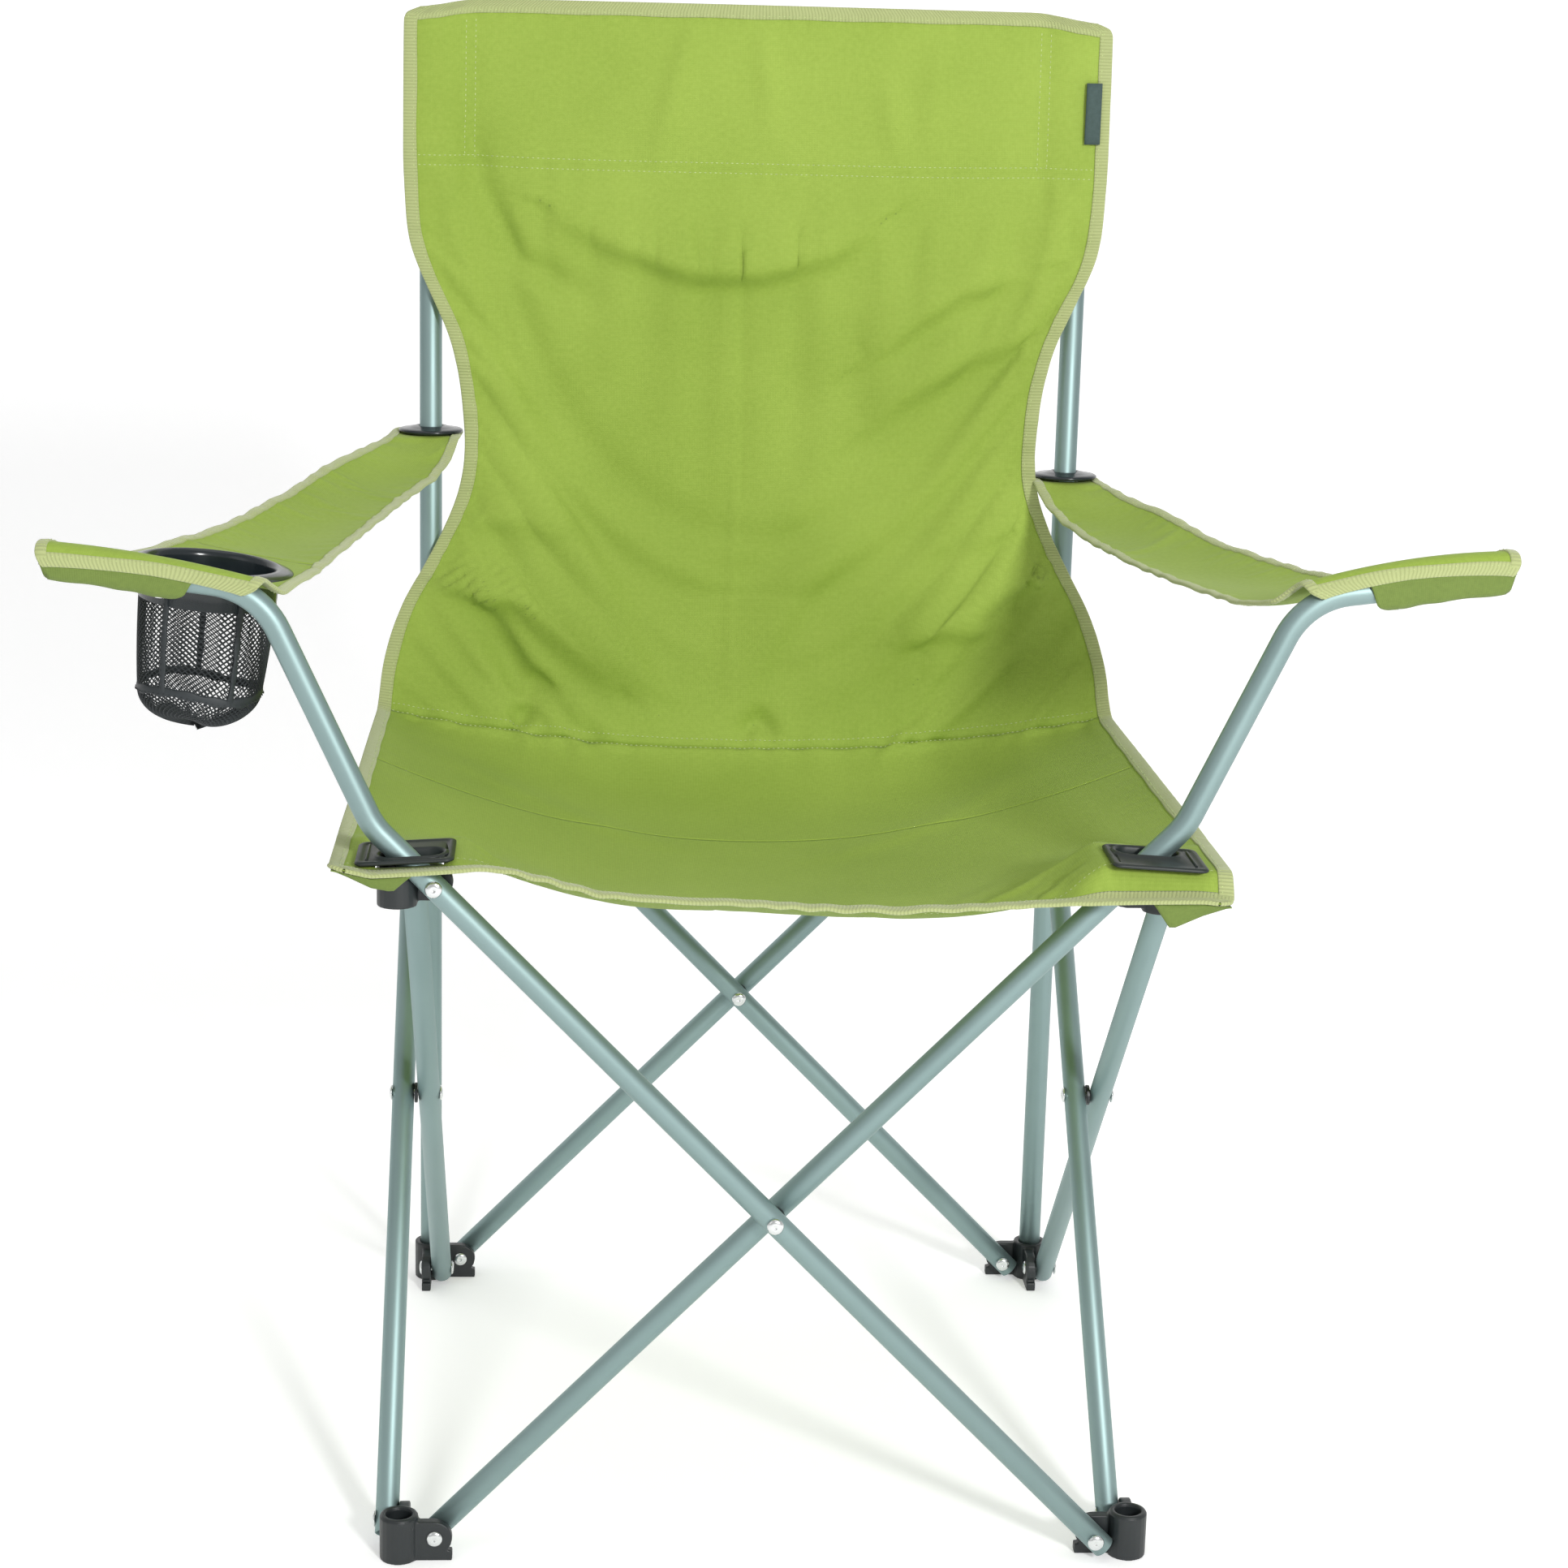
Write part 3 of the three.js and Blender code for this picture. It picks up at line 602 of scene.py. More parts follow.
def stitches(line, normal, pitch=3.4, length=2.4, width=0.42, lift=0.35, side=1):
    """Short raised threads along a line."""
    s = lengths(line)
    points, faces = [], []
    n = int(s[-1] / pitch)
    for k in range(n):
        t0 = (k + 0.5) * pitch - length / 2
        ends = [np.array([np.interp(t, s, line[:, i]) for i in range(3)]) for t in (t0, t0 + length)]
        up = np.array([np.interp(t0 + length / 2, s, normal[:, i]) for i in range(3)]) * side
        along = ends[1] - ends[0]
        size = np.linalg.norm(along)
        if size < 1e-6:
            continue
        along /= size
        across = np.cross(along, up)
        across /= max(np.linalg.norm(across), 1e-9)
        base = len(points)
        middle = (ends[0] + ends[1]) / 2
        for p, w, h in ((ends[0], 0.3, 0.0), (middle, 1.0, 1.0), (ends[1], 0.3, 0.0)):
            q = p + up * lift * (0.15 + 0.85 * h)
            points += [q + across * width * w, q + up * width * 0.8 * w, q - across * width * w]
        for i in (0, 3):
            faces += [(base + i, base + i + 1, base + i + 4, base + i + 3),
                      (base + i + 1, base + i + 2, base + i + 5, base + i + 4)]
    return np.array(points).reshape(-1, 3), faces


class Trim:
    """Collects tape and thread for one piece of cloth, and makes them one object."""

    def __init__(self):
        self.points, self.faces, self.uv, self.mats = [], [], [], []
        self.count = 0

    def add(self, points, faces, uv, mat):
        if len(points) == 0:
            return
        self.points.append(points)
        self.uv.append(uv)
        self.faces += [tuple(self.count + i for i in f) for f in faces]
        self.mats += [mat] * len(faces)
        self.count += len(points)

    def tape(self, edge, middle, inner, normal, **how):
        self.add(*tape(edge, middle, inner, normal, **how), 0)
        line = inner + (middle - inner) * 0.5
        for side in (1, -1):
            self.thread(line, normal, lift=1.5, side=side)

    def thread(self, line, normal, **how):
        points, faces = stitches(line, normal, **how)
        uv = np.zeros((len(points), 2))
        uv[:, 0] = np.arange(len(points)) * 0.0003
        self.add(points, faces, uv, 1)

    def make(self, name):
        return make(name, np.concatenate(self.points), self.faces, [TAPE, THREAD], np.concatenate(self.uv),
                    self.mats)


def cloth_piece(name, grid, uv, hole=None, thick=0.7, mats=None, front=1):
    """Cloth of two layers from a grid of points; hole(centres) says which faces are cut out. The
    first material is on the side that front says, 1 for the side of the grid's normals."""
    up = normals_of(grid) * thick / 2
    quads = np.array(grid_faces(*grid.shape[:2]))
    flat = grid.reshape(-1, 3)
    if hole is not None:
        quads = quads[~hole(flat[quads].mean(axis=1))]
    n = len(flat)
    edges = np.concatenate([quads[:, [k, (k + 1) % 4]] for k in range(4)])
    key = np.sort(edges, axis=1)
    _, first, count = np.unique(key[:, 0] * n + key[:, 1], return_index=True, return_counts=True)
    rim = edges[first[count == 1]]
    rims = np.column_stack([rim[:, 1], rim[:, 0], rim[:, 0] + n, rim[:, 1] + n])
    faces = np.concatenate([quads, quads[:, ::-1] + n, rims])
    points = np.concatenate([(grid + up).reshape(-1, 3), (grid - up).reshape(-1, 3)])
    mats = mats or [CLOTH, CLOTH_BACK]
    slots = np.zeros(len(faces), int)
    slots[len(quads):] = len(mats) - 1
    if front < 0:
        slots[:len(quads)], slots[len(quads):2 * len(quads)] = len(mats) - 1, 0
    uv = np.concatenate([uv.reshape(-1, 2)] * 2) * MM
    obj = make(name, points, faces, mats, uv, slots)
    even = np.ones(len(faces), bool)
    even[2 * len(quads):] = False
    obj.data.polygons.foreach_set("use_smooth", even)
    return obj


def finer(grid, axis):
    """Doubles the points along an axis, on a smooth curve through them."""
    g = np.moveaxis(grid, axis, 0)
    before = np.concatenate([2 * g[:1] - g[1:2], g[:-2]])
    after = np.concatenate([g[2:], 2 * g[-1:] - g[-2:-1]])
    out = np.empty((2 * len(g) - 1, *g.shape[1:]))
    out[0::2] = g
    out[1::2] = (9 * (g[:-1] + g[1:]) - before - after) / 16
    return np.moveaxis(out, 0, axis)


def ramp(value, low, high):
    t = np.clip((value - low) / (high - low), 0, 1)
    return t * t * (3 - 2 * t)


def crease(place, height, path, rise, left, right):
    """Adds a soft fold to a height field. place holds two coordinates of each point; the fold's
    crest follows path and falls away over left and right millimetres on its two sides."""
    path = np.array(path, float)
    s = lengths(path)
    dense = np.stack([np.interp(np.linspace(0, s[-1], 40), s, path[:, k]) for k in range(2)], axis=1)
    flat = place.reshape(-1, 2)
    gap = np.linalg.norm(flat[:, None] - dense[None], axis=2)
    k = gap.argmin(axis=1)
    along = np.gradient(dense, axis=0)[k]
    off = flat - dense[k]
    side = along[:, 0] * off[:, 1] - along[:, 1] * off[:, 0]
    width = np.where(side > 0, left, right)
    t = k / 39
    fade = np.sin(np.pi * np.clip(t * 0.9 + 0.05, 0, 1)) ** 0.6
    height += (rise * fade * np.exp(-((gap.min(axis=1) / width) ** 2))).reshape(height.shape)


# The sling's cut: edge and centre line from the top of the back to the front of the seat.
EDGE = np.array([
    (233, 206, 890), (233.5, 206, 862), (234, 206, 789), (231, 205, 741), (223, 205, 719), (212, 204, 697),
    (203, 204, 677),
    (197.5, 204, 655), (194.5, 204, 632), (192.5, 204, 610), (193, 204, 589), (198, 204, 567),
    (208, 205, 544), (220, 205, 521),
    (233, 204, 499), (242, 202, 477), (248, 197, 454), (251, 184, 424), (251.5, 150, 424.5),
    (252, 60, 425.5), (252, -60, 427),
    (253, -160, 428), (253.5, -246, 427),
], float)
CENTRE = np.array([
    (205, 897), (206, 866), (210, 789), (214, 741), (216, 719), (217, 697), (218, 677),
    (218, 655), (217, 632), (216, 610), (214, 589), (211, 567), (208, 544), (204, 521),
    (200, 497), (196, 472), (192, 446), (186, 404), (150, 399), (60, 394), (-60, 393),
    (-160, 399), (-246, 411),
], float)
FRONT_EDGE = np.array([
    (-254, 430), (-243, 428), (-230, 425), (-200, 427), (-163, 430), (-140, 425), (-103, 415),
    (-60, 411.5), (-30, 411),
    (20, 408), (61, 407), (110, 409), (153, 412), (200, 413.5), (236, 414), (254, 412),
], float)
SEAM_KEY = 17
key_gap = (np.linalg.norm(np.diff(EDGE, axis=0),
                          axis=1) + np.linalg.norm(np.diff(CENTRE, axis=0), axis=1)) / 2
KEY_S = np.concatenate([[0], np.cumsum(key_gap)])
TOTAL_S = KEY_S[-1]
SEAM_S = KEY_S[SEAM_KEY]
BAND_S = KEY_S[2]
FOLD_Y = 45.0
FOLD_S = float(np.interp(-FOLD_Y, -CENTRE[SEAM_KEY:, 0], KEY_S[SEAM_KEY:]))
STEP = 6.4
TAPE_D = [0, 2.7, 5.4, 8.0]


def between(s0, s1):
    return list(np.linspace(s0, s1, max(2, int(round((s1 - s0) / STEP)) + 1)))[1:]


row_s = TAPE_D + between(8.0, BAND_S) + between(BAND_S, SEAM_S)
seam_row = len(row_s) - 1
row_s += between(SEAM_S, FOLD_S)
fold_row = len(row_s) - 1
row_s += between(FOLD_S, TOTAL_S - 8.0) + [TOTAL_S - d for d in TAPE_D[2::-1]]
row_s = np.array(row_s)


def smooth_key(values, s):
    dense = np.linspace(0, TOTAL_S, 1400)
    line = np.interp(dense, KEY_S, values)
    sigma = 9.0 / (dense[1] - dense[0])
    reach = int(3 * sigma)
    kernel = np.exp(-0.5 * (np.arange(-reach, reach + 1) / sigma) ** 2)
    kernel /= kernel.sum()
    padded = np.concatenate([2 * line[0] - line[reach:0:-1], line, 2 * line[-1] - line[-2:-reach - 2:-1]])
    return np.interp(s, dense, np.convolve(padded, kernel, "valid"))


edge_line = np.stack([smooth_key(EDGE[:, k], row_s) for k in range(3)], axis=1)
centre_line = np.stack([smooth_key(CENTRE[:, k], row_s) for k in range(2)], axis=1)

inner_n = 70
columns = 2 * len(TAPE_D) + inner_n
sling = np.zeros((len(row_s), columns, 3))
sling_uv = np.zeros((len(row_s), columns, 2))
for i, s in enumerate(row_s):
    ex, ey, ez = edge_line[i]
    cy, cz = centre_line[i]
    corner = 9.0
    nearest = min(s, TOTAL_S - s)
    half = ex - corner * (1 - math.sqrt(1 - max(0.0, 1 - nearest / corner) ** 2))
    inside = list(np.linspace(8.0, 2 * half - 8.0, inner_n + 2)[1:-1])
    d = np.array(TAPE_D + inside + [2 * half - q for q in TAPE_D[::-1]])
    x = d - half
    wave = 0.9 * math.sin(s * 0.081) + 0.7 * math.sin(s * 0.173 + 1.3) + 0.4 * math.sin(s * 0.39)
    u = x / half
    share = np.abs(u) ** (2.1 if s < SEAM_S else 2.6)
    y = cy + (ey - cy) * share
    z = cz + (ez - cz) * share
    if s < SEAM_S:
        y = y + wave * np.abs(u) ** 8
    else:
        z = z + wave * 0.8 * np.abs(u) ** 8 * (1 - ramp(-y, 120, 170))
    if s < BAND_S + 40:
        # the pockets stand out round the uprights, and the top edge is raised between them
        fade = float(1 - ramp(s, BAND_S, BAND_S + 40))
        front = 207.0 - 1.5 * np.exp(-(((np.abs(x) - CORNER) / 9) ** 2))
        pocket = ramp(np.abs(x), 188, 206)
        y = y * (1 - fade) + fade * (211.5 * (1 - pocket) + front * pocket)
        top = 896.0 - 6.0 * ramp(np.abs(x), 180, 228)
        z = np.where(s < BAND_S, top - (top - 789) * (s / BAND_S), z)
    if s > TOTAL_S - 120:
        fade = ((s - (TOTAL_S - 120)) / 120) ** 2
        middle = z * (1 - fade) + fade * np.interp(x, *FRONT_EDGE.T)
        shelf = 429.4 - CORNER_SLOPE * (np.abs(x) - 212)
        on_hub = ramp(np.abs(x), 158, 184) * ramp(s, TOTAL_S - 110, TOTAL_S - 66)
        drop = float(ramp(s, TOTAL_S - 17, TOTAL_S))
        on_hub = on_hub * (1 - drop)
        z = middle * (1 - on_hub) + shelf * on_hub
        z = z * (1 - drop) + np.interp(x, *FRONT_EDGE.T) * drop
    sling[i, :, 0], sling[i, :, 1], sling[i, :, 2] = x, y, z
    sling_uv[i, :, 0] = x
    sling_uv[i, :, 1] = -s

pins = np.zeros(sling.shape[:2])
pins[:, :2] = pins[:, -2:] = 1
pins[:, 2:4] = pins[:, -4:-2] = 0.8
pins[:3] = pins[-4:] = 1
for i, s in enumerate(row_s):
    x = np.abs(sling[i, :, 0])
    if s <= BAND_S:
        pins[i, x > 186] = 1
        pins[i] = np.maximum(pins[i], 0.35)
    if s > TOTAL_S - 70:
        pins[i, x > 174] = 1
sling = settle("sling_sim", sling, pins, frames=46, grow=0.016, gravity=0.9, bend=0.5)


def calmed(grid, axis, weight, rounds):
    """Irons out ripples along an axis where weight is 1."""
    g, w = np.moveaxis(grid, axis, 0), np.moveaxis(weight, axis, 0)[..., None]
    for _ in range(rounds):
        even = g.copy()
        even[1:-1] = (g[:-2] + 2 * g[1:-1] + g[2:]) / 4
        g = g * (1 - w) + even * w
    return np.moveaxis(g, 0, axis)


on_seat = ramp(row_s, SEAM_S + 6, SEAM_S + 40) * (1 - ramp(row_s, TOTAL_S - 100, TOTAL_S - 80))
sling = calmed(sling, 0, on_seat[:, None] * np.ones(columns), 60)
on_band = ramp(row_s, 8, 20) * (1 - ramp(row_s, BAND_S - 4, BAND_S + 40))
between_pockets = 1 - ramp(np.abs(sling[..., 0]), 170, 190)
sling = calmed(sling, 1, on_band[:, None] * between_pockets * 0.8, 14)
for axis in (0, 1):
    sling, sling_uv = finer(sling, axis), finer(sling_uv, axis)
row_s = finer(row_s, 0)
seam_row, fold_row = 2 * seam_row, 2 * fold_row
last = len(row_s) - 1
middle_column = sling.shape[1] // 2
n = normals_of(sling)
facing = 1 if n[20, middle_column, 1] < 0 else -1
n = n * facing

# How much higher the folds of the back stand than their list below says.
BACK_FOLD_RISE = 2.3
# Folds that the cloth keeps, on the back as (x, z) and on the seat as (x, y).
BACK_FOLDS = [
    ([(-128, 757), (-90, 739), (-40, 723), (4, 724), (49, 737), (74, 753)], 6.0, 30, 9),
    ([(-44, 884), (-56, 845), (-67, 800)], 1.6, 9, 7),
    ([(0, 882), (6, 850), (9, 815)], 1.3, 8, 8),
    ([(84, 850), (96, 796)], 1.4, 9, 9),
    ([(120, 880), (112, 800)], 1.0, 9, 9),
    ([(181, 727), (142, 716), (109, 694), (76, 667)], 4.6, 9, 26),
    ([(192, 690), (142, 668), (98, 640), (81, 622)], 4.0, 9, 22),
    ([(-190, 812), (-182, 773), (-160, 728), (-112, 703)], -3.2, 10, 8),
    ([(-170, 640), (-156, 610), (-128, 554), (-90, 487), (-67, 438)], 3.6, 10, 26),
    ([(-222, 517), (-194, 507), (-156, 497), (-123, 468), (-92, 444)], 6.0, 24, 8),
    ([(-178, 484), (-156, 446), (-125, 437)], -3.6, 9, 9),
    ([(-205, 549), (-167, 556), (-134, 548)], 2.4, 14, 9),
    ([(-150, 430), (-156, 416)], -4.0, 7, 7),
    ([(-4, 410), (8, 421), (20, 410)], -3.4, 6, 6),
    ([(235, 532), (175, 513), (142, 489), (124, 462)], 5.0, 9, 26),
    ([(165, 484), (126, 480), (104, 474)], 3.4, 6, 14),
    ([(225, 560), (180, 556), (140, 540)], 2.4, 8, 16),
    ([(-9, 430), (21, 487), (65, 545), (104, 590)], 3.0, 26, 12),
    ([(-14, 700), (-11, 560), (-13, 430)], 0.7, 3, 3),
    ([(60, 620), (30, 560), (-30, 520)], 1.6, 14, 20),
]
SEAT_FOLDS = [
    ([(-200, 120), (-120, 60), (-60, 20)], 1.6, 18, 12),
    ([(190, 130), (120, 50), (40, 0)], 1.4, 12, 18),
    ([(-150, -110), (-60, -170), (20, -190)], 1.6, 14, 18),
    ([(160, -120), (90, -180), (40, -200)], 1.3, 14, 12),
]
height = np.zeros(sling.shape[:2])
back = slice(0, seam_row + 1)
for path, rise, left, right in BACK_FOLDS:
    crease(sling[back][..., [0, 2]], height[back], path, BACK_FOLD_RISE * rise, left, right)
for path, rise, left, right in SEAT_FOLDS:
    crease(sling[seam_row:][..., [0, 1]], height[seam_row:], path, rise, left, right)

# Small puckers beside the seams and the tape.
along = sling_uv[..., 1]
across = sling_uv[..., 0]
half_of_row = np.abs(across[:, :1])
from_edge = half_of_row - np.abs(across)
ripple = np.sin(along * 0.33 + 1.7 * np.sin(along * 0.07)) * np.sin(along * 0.051 + 0.6)
height += 0.9 * ripple * np.exp(-from_edge / 12)
ripple = np.sin(across * 0.27 + 1.9 * np.sin(across * 0.05)) * (0.6 + 0.4 * np.sin(across * 0.031))
for s0, size in ((BAND_S, 0.7), (SEAM_S, 1.3), (0, 0.7), (TOTAL_S, 0.8)):
    gap = np.abs(-along - s0)
    height += size * ripple * np.exp(-gap / 11) - (
        0.9 * np.exp(-((gap / 3.5) ** 2)) if 0 < s0 < TOTAL_S else 0)
calm = ramp(from_edge, 5, 30)
calm *= ramp(-along, 0, 26)
on_plate = ramp(np.abs(across), 165, 182) * ramp(-along, TOTAL_S - 80, TOTAL_S - 62)
height *= np.clip(calm + 0.25, 0, 1) * (1 - on_plate)
sling += n * height[..., None]
n = normals_of(sling) * facing

RIM = (0, 3, 6)


def sling_part(name, rows, nodes, body, top=False, front=False, lines=(), hole=None):
    g, nn, uv = sling[rows], n[rows], sling_uv[rows]
    cloth = cloth_piece(name, g, uv, hole, front=facing)
    trim = Trim()
    for sign in (1, -1):
        cols = [k if sign > 0 else -1 - k for k in RIM]
        trim.tape(g[:, cols[0]], g[:, cols[1]], g[:, cols[2]], nn[:, cols[0]])
    if top:
        trim.tape(g[0], g[RIM[1]], g[RIM[2]], nn[0])
    if front:
        trim.tape(g[-1], g[-1 - RIM[1]], g[-1 - RIM[2]], nn[-1])
    for kind, index, a, b in lines:
        line, normal = (g[index, a:b], nn[index, a:b]) if kind == "row" else (g[a:b, index], nn[a:b, index])
        for side in (1, -1):
            trim.thread(line, normal, side=side, lift=0.6, width=0.34)
    edging = trim.make(name + "_trim")
    for obj in (cloth, edging):
        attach(obj, body)
    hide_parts(*nodes)
    for obj in (cloth, edging):
        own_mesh(obj)
    return cloth, edging


def column_at(row, x):
    return int(np.argmin(np.abs(sling[row, :, 0] - x)))


band = int(np.argmin(np.abs(row_s - BAND_S)))
back_lines = [("row", band, 6, -6), ("row", band - 2, 6, -6), ("row", seam_row, 6, -6),
              ("row", seam_row - 2, 6, -6)]
for x in (-193, -187, 187, 193):
    back_lines.append(("column", column_at(16, x), 7, band))
back_cloth, back_trim = sling_part("sling_back", back, ["back_fabric"], "rear_left_leg",
                                   top=True, lines=back_lines)
seat_rear, seat_rear_trim = sling_part("sling_seat_rear", slice(seam_row, fold_row + 1),
                                       ["seat_fabric_rear"], "seat_rear")
hem = last - fold_row - int(np.sum(row_s > TOTAL_S - 16))


def slot_hole(c):
    plane = np.where(c[:, 0] < 0, FRONT_LEFT_PLANE, FRONT_RIGHT_PLANE)
    return (np.abs(np.abs(c[:, 0]) - 208.5) < 18.5) & (np.abs(c[:, 1] - plane) < 9.2)


seat_front, seat_front_trim = sling_part(
    "sling_seat_front", slice(fold_row, last + 1), ["seat_fabric_front"], "seat_front",
    front=True, lines=[("row", hem, 6, -6)], hole=slot_hole,
)

# The flap under each front corner that holds the hub, in green cloth painted darker as shade.
for side, sx in (("left", -1), ("right", 1)):
    grid = np.zeros((12, 15, 3))
    for i in range(12):
        for j in range(15):
            x = 208 + 44 * j / 14
            rim = np.interp(sx * x, *FRONT_EDGE.T) - 1.4
            reach = max(0, min(j / 3, (14 - j) / 10, 1)) * (14 if side == "right" else 8)
            t = i / 11
            drop = reach * math.sin(min(t * 1.9, 1) * math.pi / 2)
            y = -244.5 + 2 * t + 46 * max(0, t - 0.45)
            grid[i, j] = (sx * x, y, rim - max(drop, 0.4))
    uv = np.stack(np.meshgrid(np.linspace(0, 58, 15), np.linspace(0, 60, 12)), axis=2)
    flap = cloth_piece("hub_flap_" + side, grid, uv, mats=[CLOTH_PAINTED_SHADE])
    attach(flap, "seat_front")
    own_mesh(flap)

# Pockets that take the tops of the uprights, on the back of the panel.
for side, sx in (("left", -1), ("right", 1)):
    ring = [(232, 208), (233.5, 214), (231, 221), (226, 226), (218, 228.3), (209, 227), (202.5, 221),
            (199, 214.5), (197, 213)]
    ring = np.array(rounded([np.array(p, float) for p in ring], 2.5, 2))
    heights = np.concatenate([np.linspace(786, 872, 26), [878, 882, 885, 886.5]])
    shrink = np.concatenate([np.zeros(26), [0.04, 0.15, 0.4, 0.75]])
    grid = np.zeros((len(heights), len(ring), 3))
    for i, (h, f) in enumerate(zip(heights, shrink)):
        wave = 0.5 * math.sin(h * 0.21 + sx) + 0.4 * math.sin(h * 0.083)
        mid = np.array([216, 212])
        p = ring + (mid - ring) * f
        p[:, 1] = np.where(p[:, 1] > 214, p[:, 1] + wave, p[:, 1])
        grid[i] = np.column_stack([sx * p[:, 0], p[:, 1], np.full(len(p), h)])
    uv = np.stack(np.meshgrid(lengths(grid[0]), heights), axis=2)
    pocket = cloth_piece("pocket_" + side, grid, uv, thick=0.8)
    nn = normals_of(grid)
    trim = Trim()
    trim.thread(grid[1], nn[1], side=1, lift=0.8)
    trim.thread(grid[1], nn[1], side=-1, lift=0.8)
    seam = trim.make(f"pocket_{side}_thread")
    for obj in (pocket, seam):
        finish_piece(obj, BODY_OF["upright_" + side])

# ---------------------------------------------------------------- armrests

low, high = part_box("cup_ring")
RING = np.array([(low.x + high.x) / 2, (low.y + high.y) / 2, (low.z + high.z) / 2]) / MM
TILT = math.radians(5.8)
GROMMET_Z = {s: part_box("armrest_grommet_" + s)[0].z / MM for s in ("left", "right")}
# Inner and outer edge of each strip behind the tube, as x, y, z.
ARM_EDGES = {
    "left": (
        [(279, -206, 575.5), (268, -150, 575.5), (258, -90, 578), (243, -20, 583), (226, 68, 587),
         (211, 135, 590), (203, 172, 597), (198, 196, 609), (196, 238, 610)],
        [(394, -206, 591), (372, -150, 589), (345, -90, 587), (320, -20, 588), (300, 37, 594),
         (280, 98, 602), (262, 148, 606), (246, 190, 608.5), (241, 238, 610)],
    ),
    "right": (
        [(276, -196, 577), (264, -160, 569), (247, -81, 565), (231, 2, 562.5), (216, 88, 562.5),
         (206, 145, 566), (199, 178, 573), (194, 200, 584.5), (192, 238, 586)],
        [(404, -190, 596), (376, -140, 581), (345, -75, 570), (331, -34, 567), (315, 8, 566),
         (294, 61, 569), (272, 118, 577), (252, 165, 581), (240, 205, 584.5), (238, 238, 586)],
    ),
}


def tube_z(x):
    (x0, z0), (x1, z1) = ARM_BENDS[1:]
    return z0 + (x - x0) * (z1 - z0) / (x1 - x0)


def arm_line(side, plane, inner):
    """One edge of the strip from its front rim over the tube to its rear end."""
    points = ARM_EDGES[side][0 if inner else 1]
    loose = 0.0 if side == "left" else 3.5
    if inner:
        x = 288.0
        z = 579.0 + loose
        front = [(x + 2, plane - 8.5, z + 0.5), (x + 2, plane - 9.2, z + 4), (x + 1, plane - 6, z + 7),
                 (x, plane, z + 8), (x - 3, plane + 8, z + 3)]
    else:
        x = 409.0
        z = tube_z(x) + loose
        front = [(x - 3, plane - 9.5, z - 1.5), (x, plane - 11, z + 4), (x, plane - 9, z + 8.6),
                 (x - 1, plane, z + 10.6), (x - 5, plane + 9, z + 7.5)]
    return np.array(front + list(points), float)


def resample(line, count, shares=None):
    s = lengths(line)
    t = np.linspace(0, s[-1], count) if shares is None else np.array(shares) * s[-1]
    dense = np.linspace(0, s[-1], 600)
    out = []
    for k in range(3):
        values = np.interp(dense, s, line[:, k])
        sigma = 3.2 / (dense[1] - dense[0])
        reach = int(3 * sigma)
        kernel = np.exp(-0.5 * (np.arange(-reach, reach + 1) / sigma) ** 2)
        kernel /= kernel.sum()
        padded = np.concatenate([2 * values[0] - values[reach:0:-1], values,
                                 2 * values[-1] - values[-2:-reach - 2:-1]])
        out.append(np.interp(t, dense, np.convolve(padded, kernel, "valid")))
    return np.stack(out, axis=1)


ARM_ROWS, ARM_COLUMNS = 104, 29
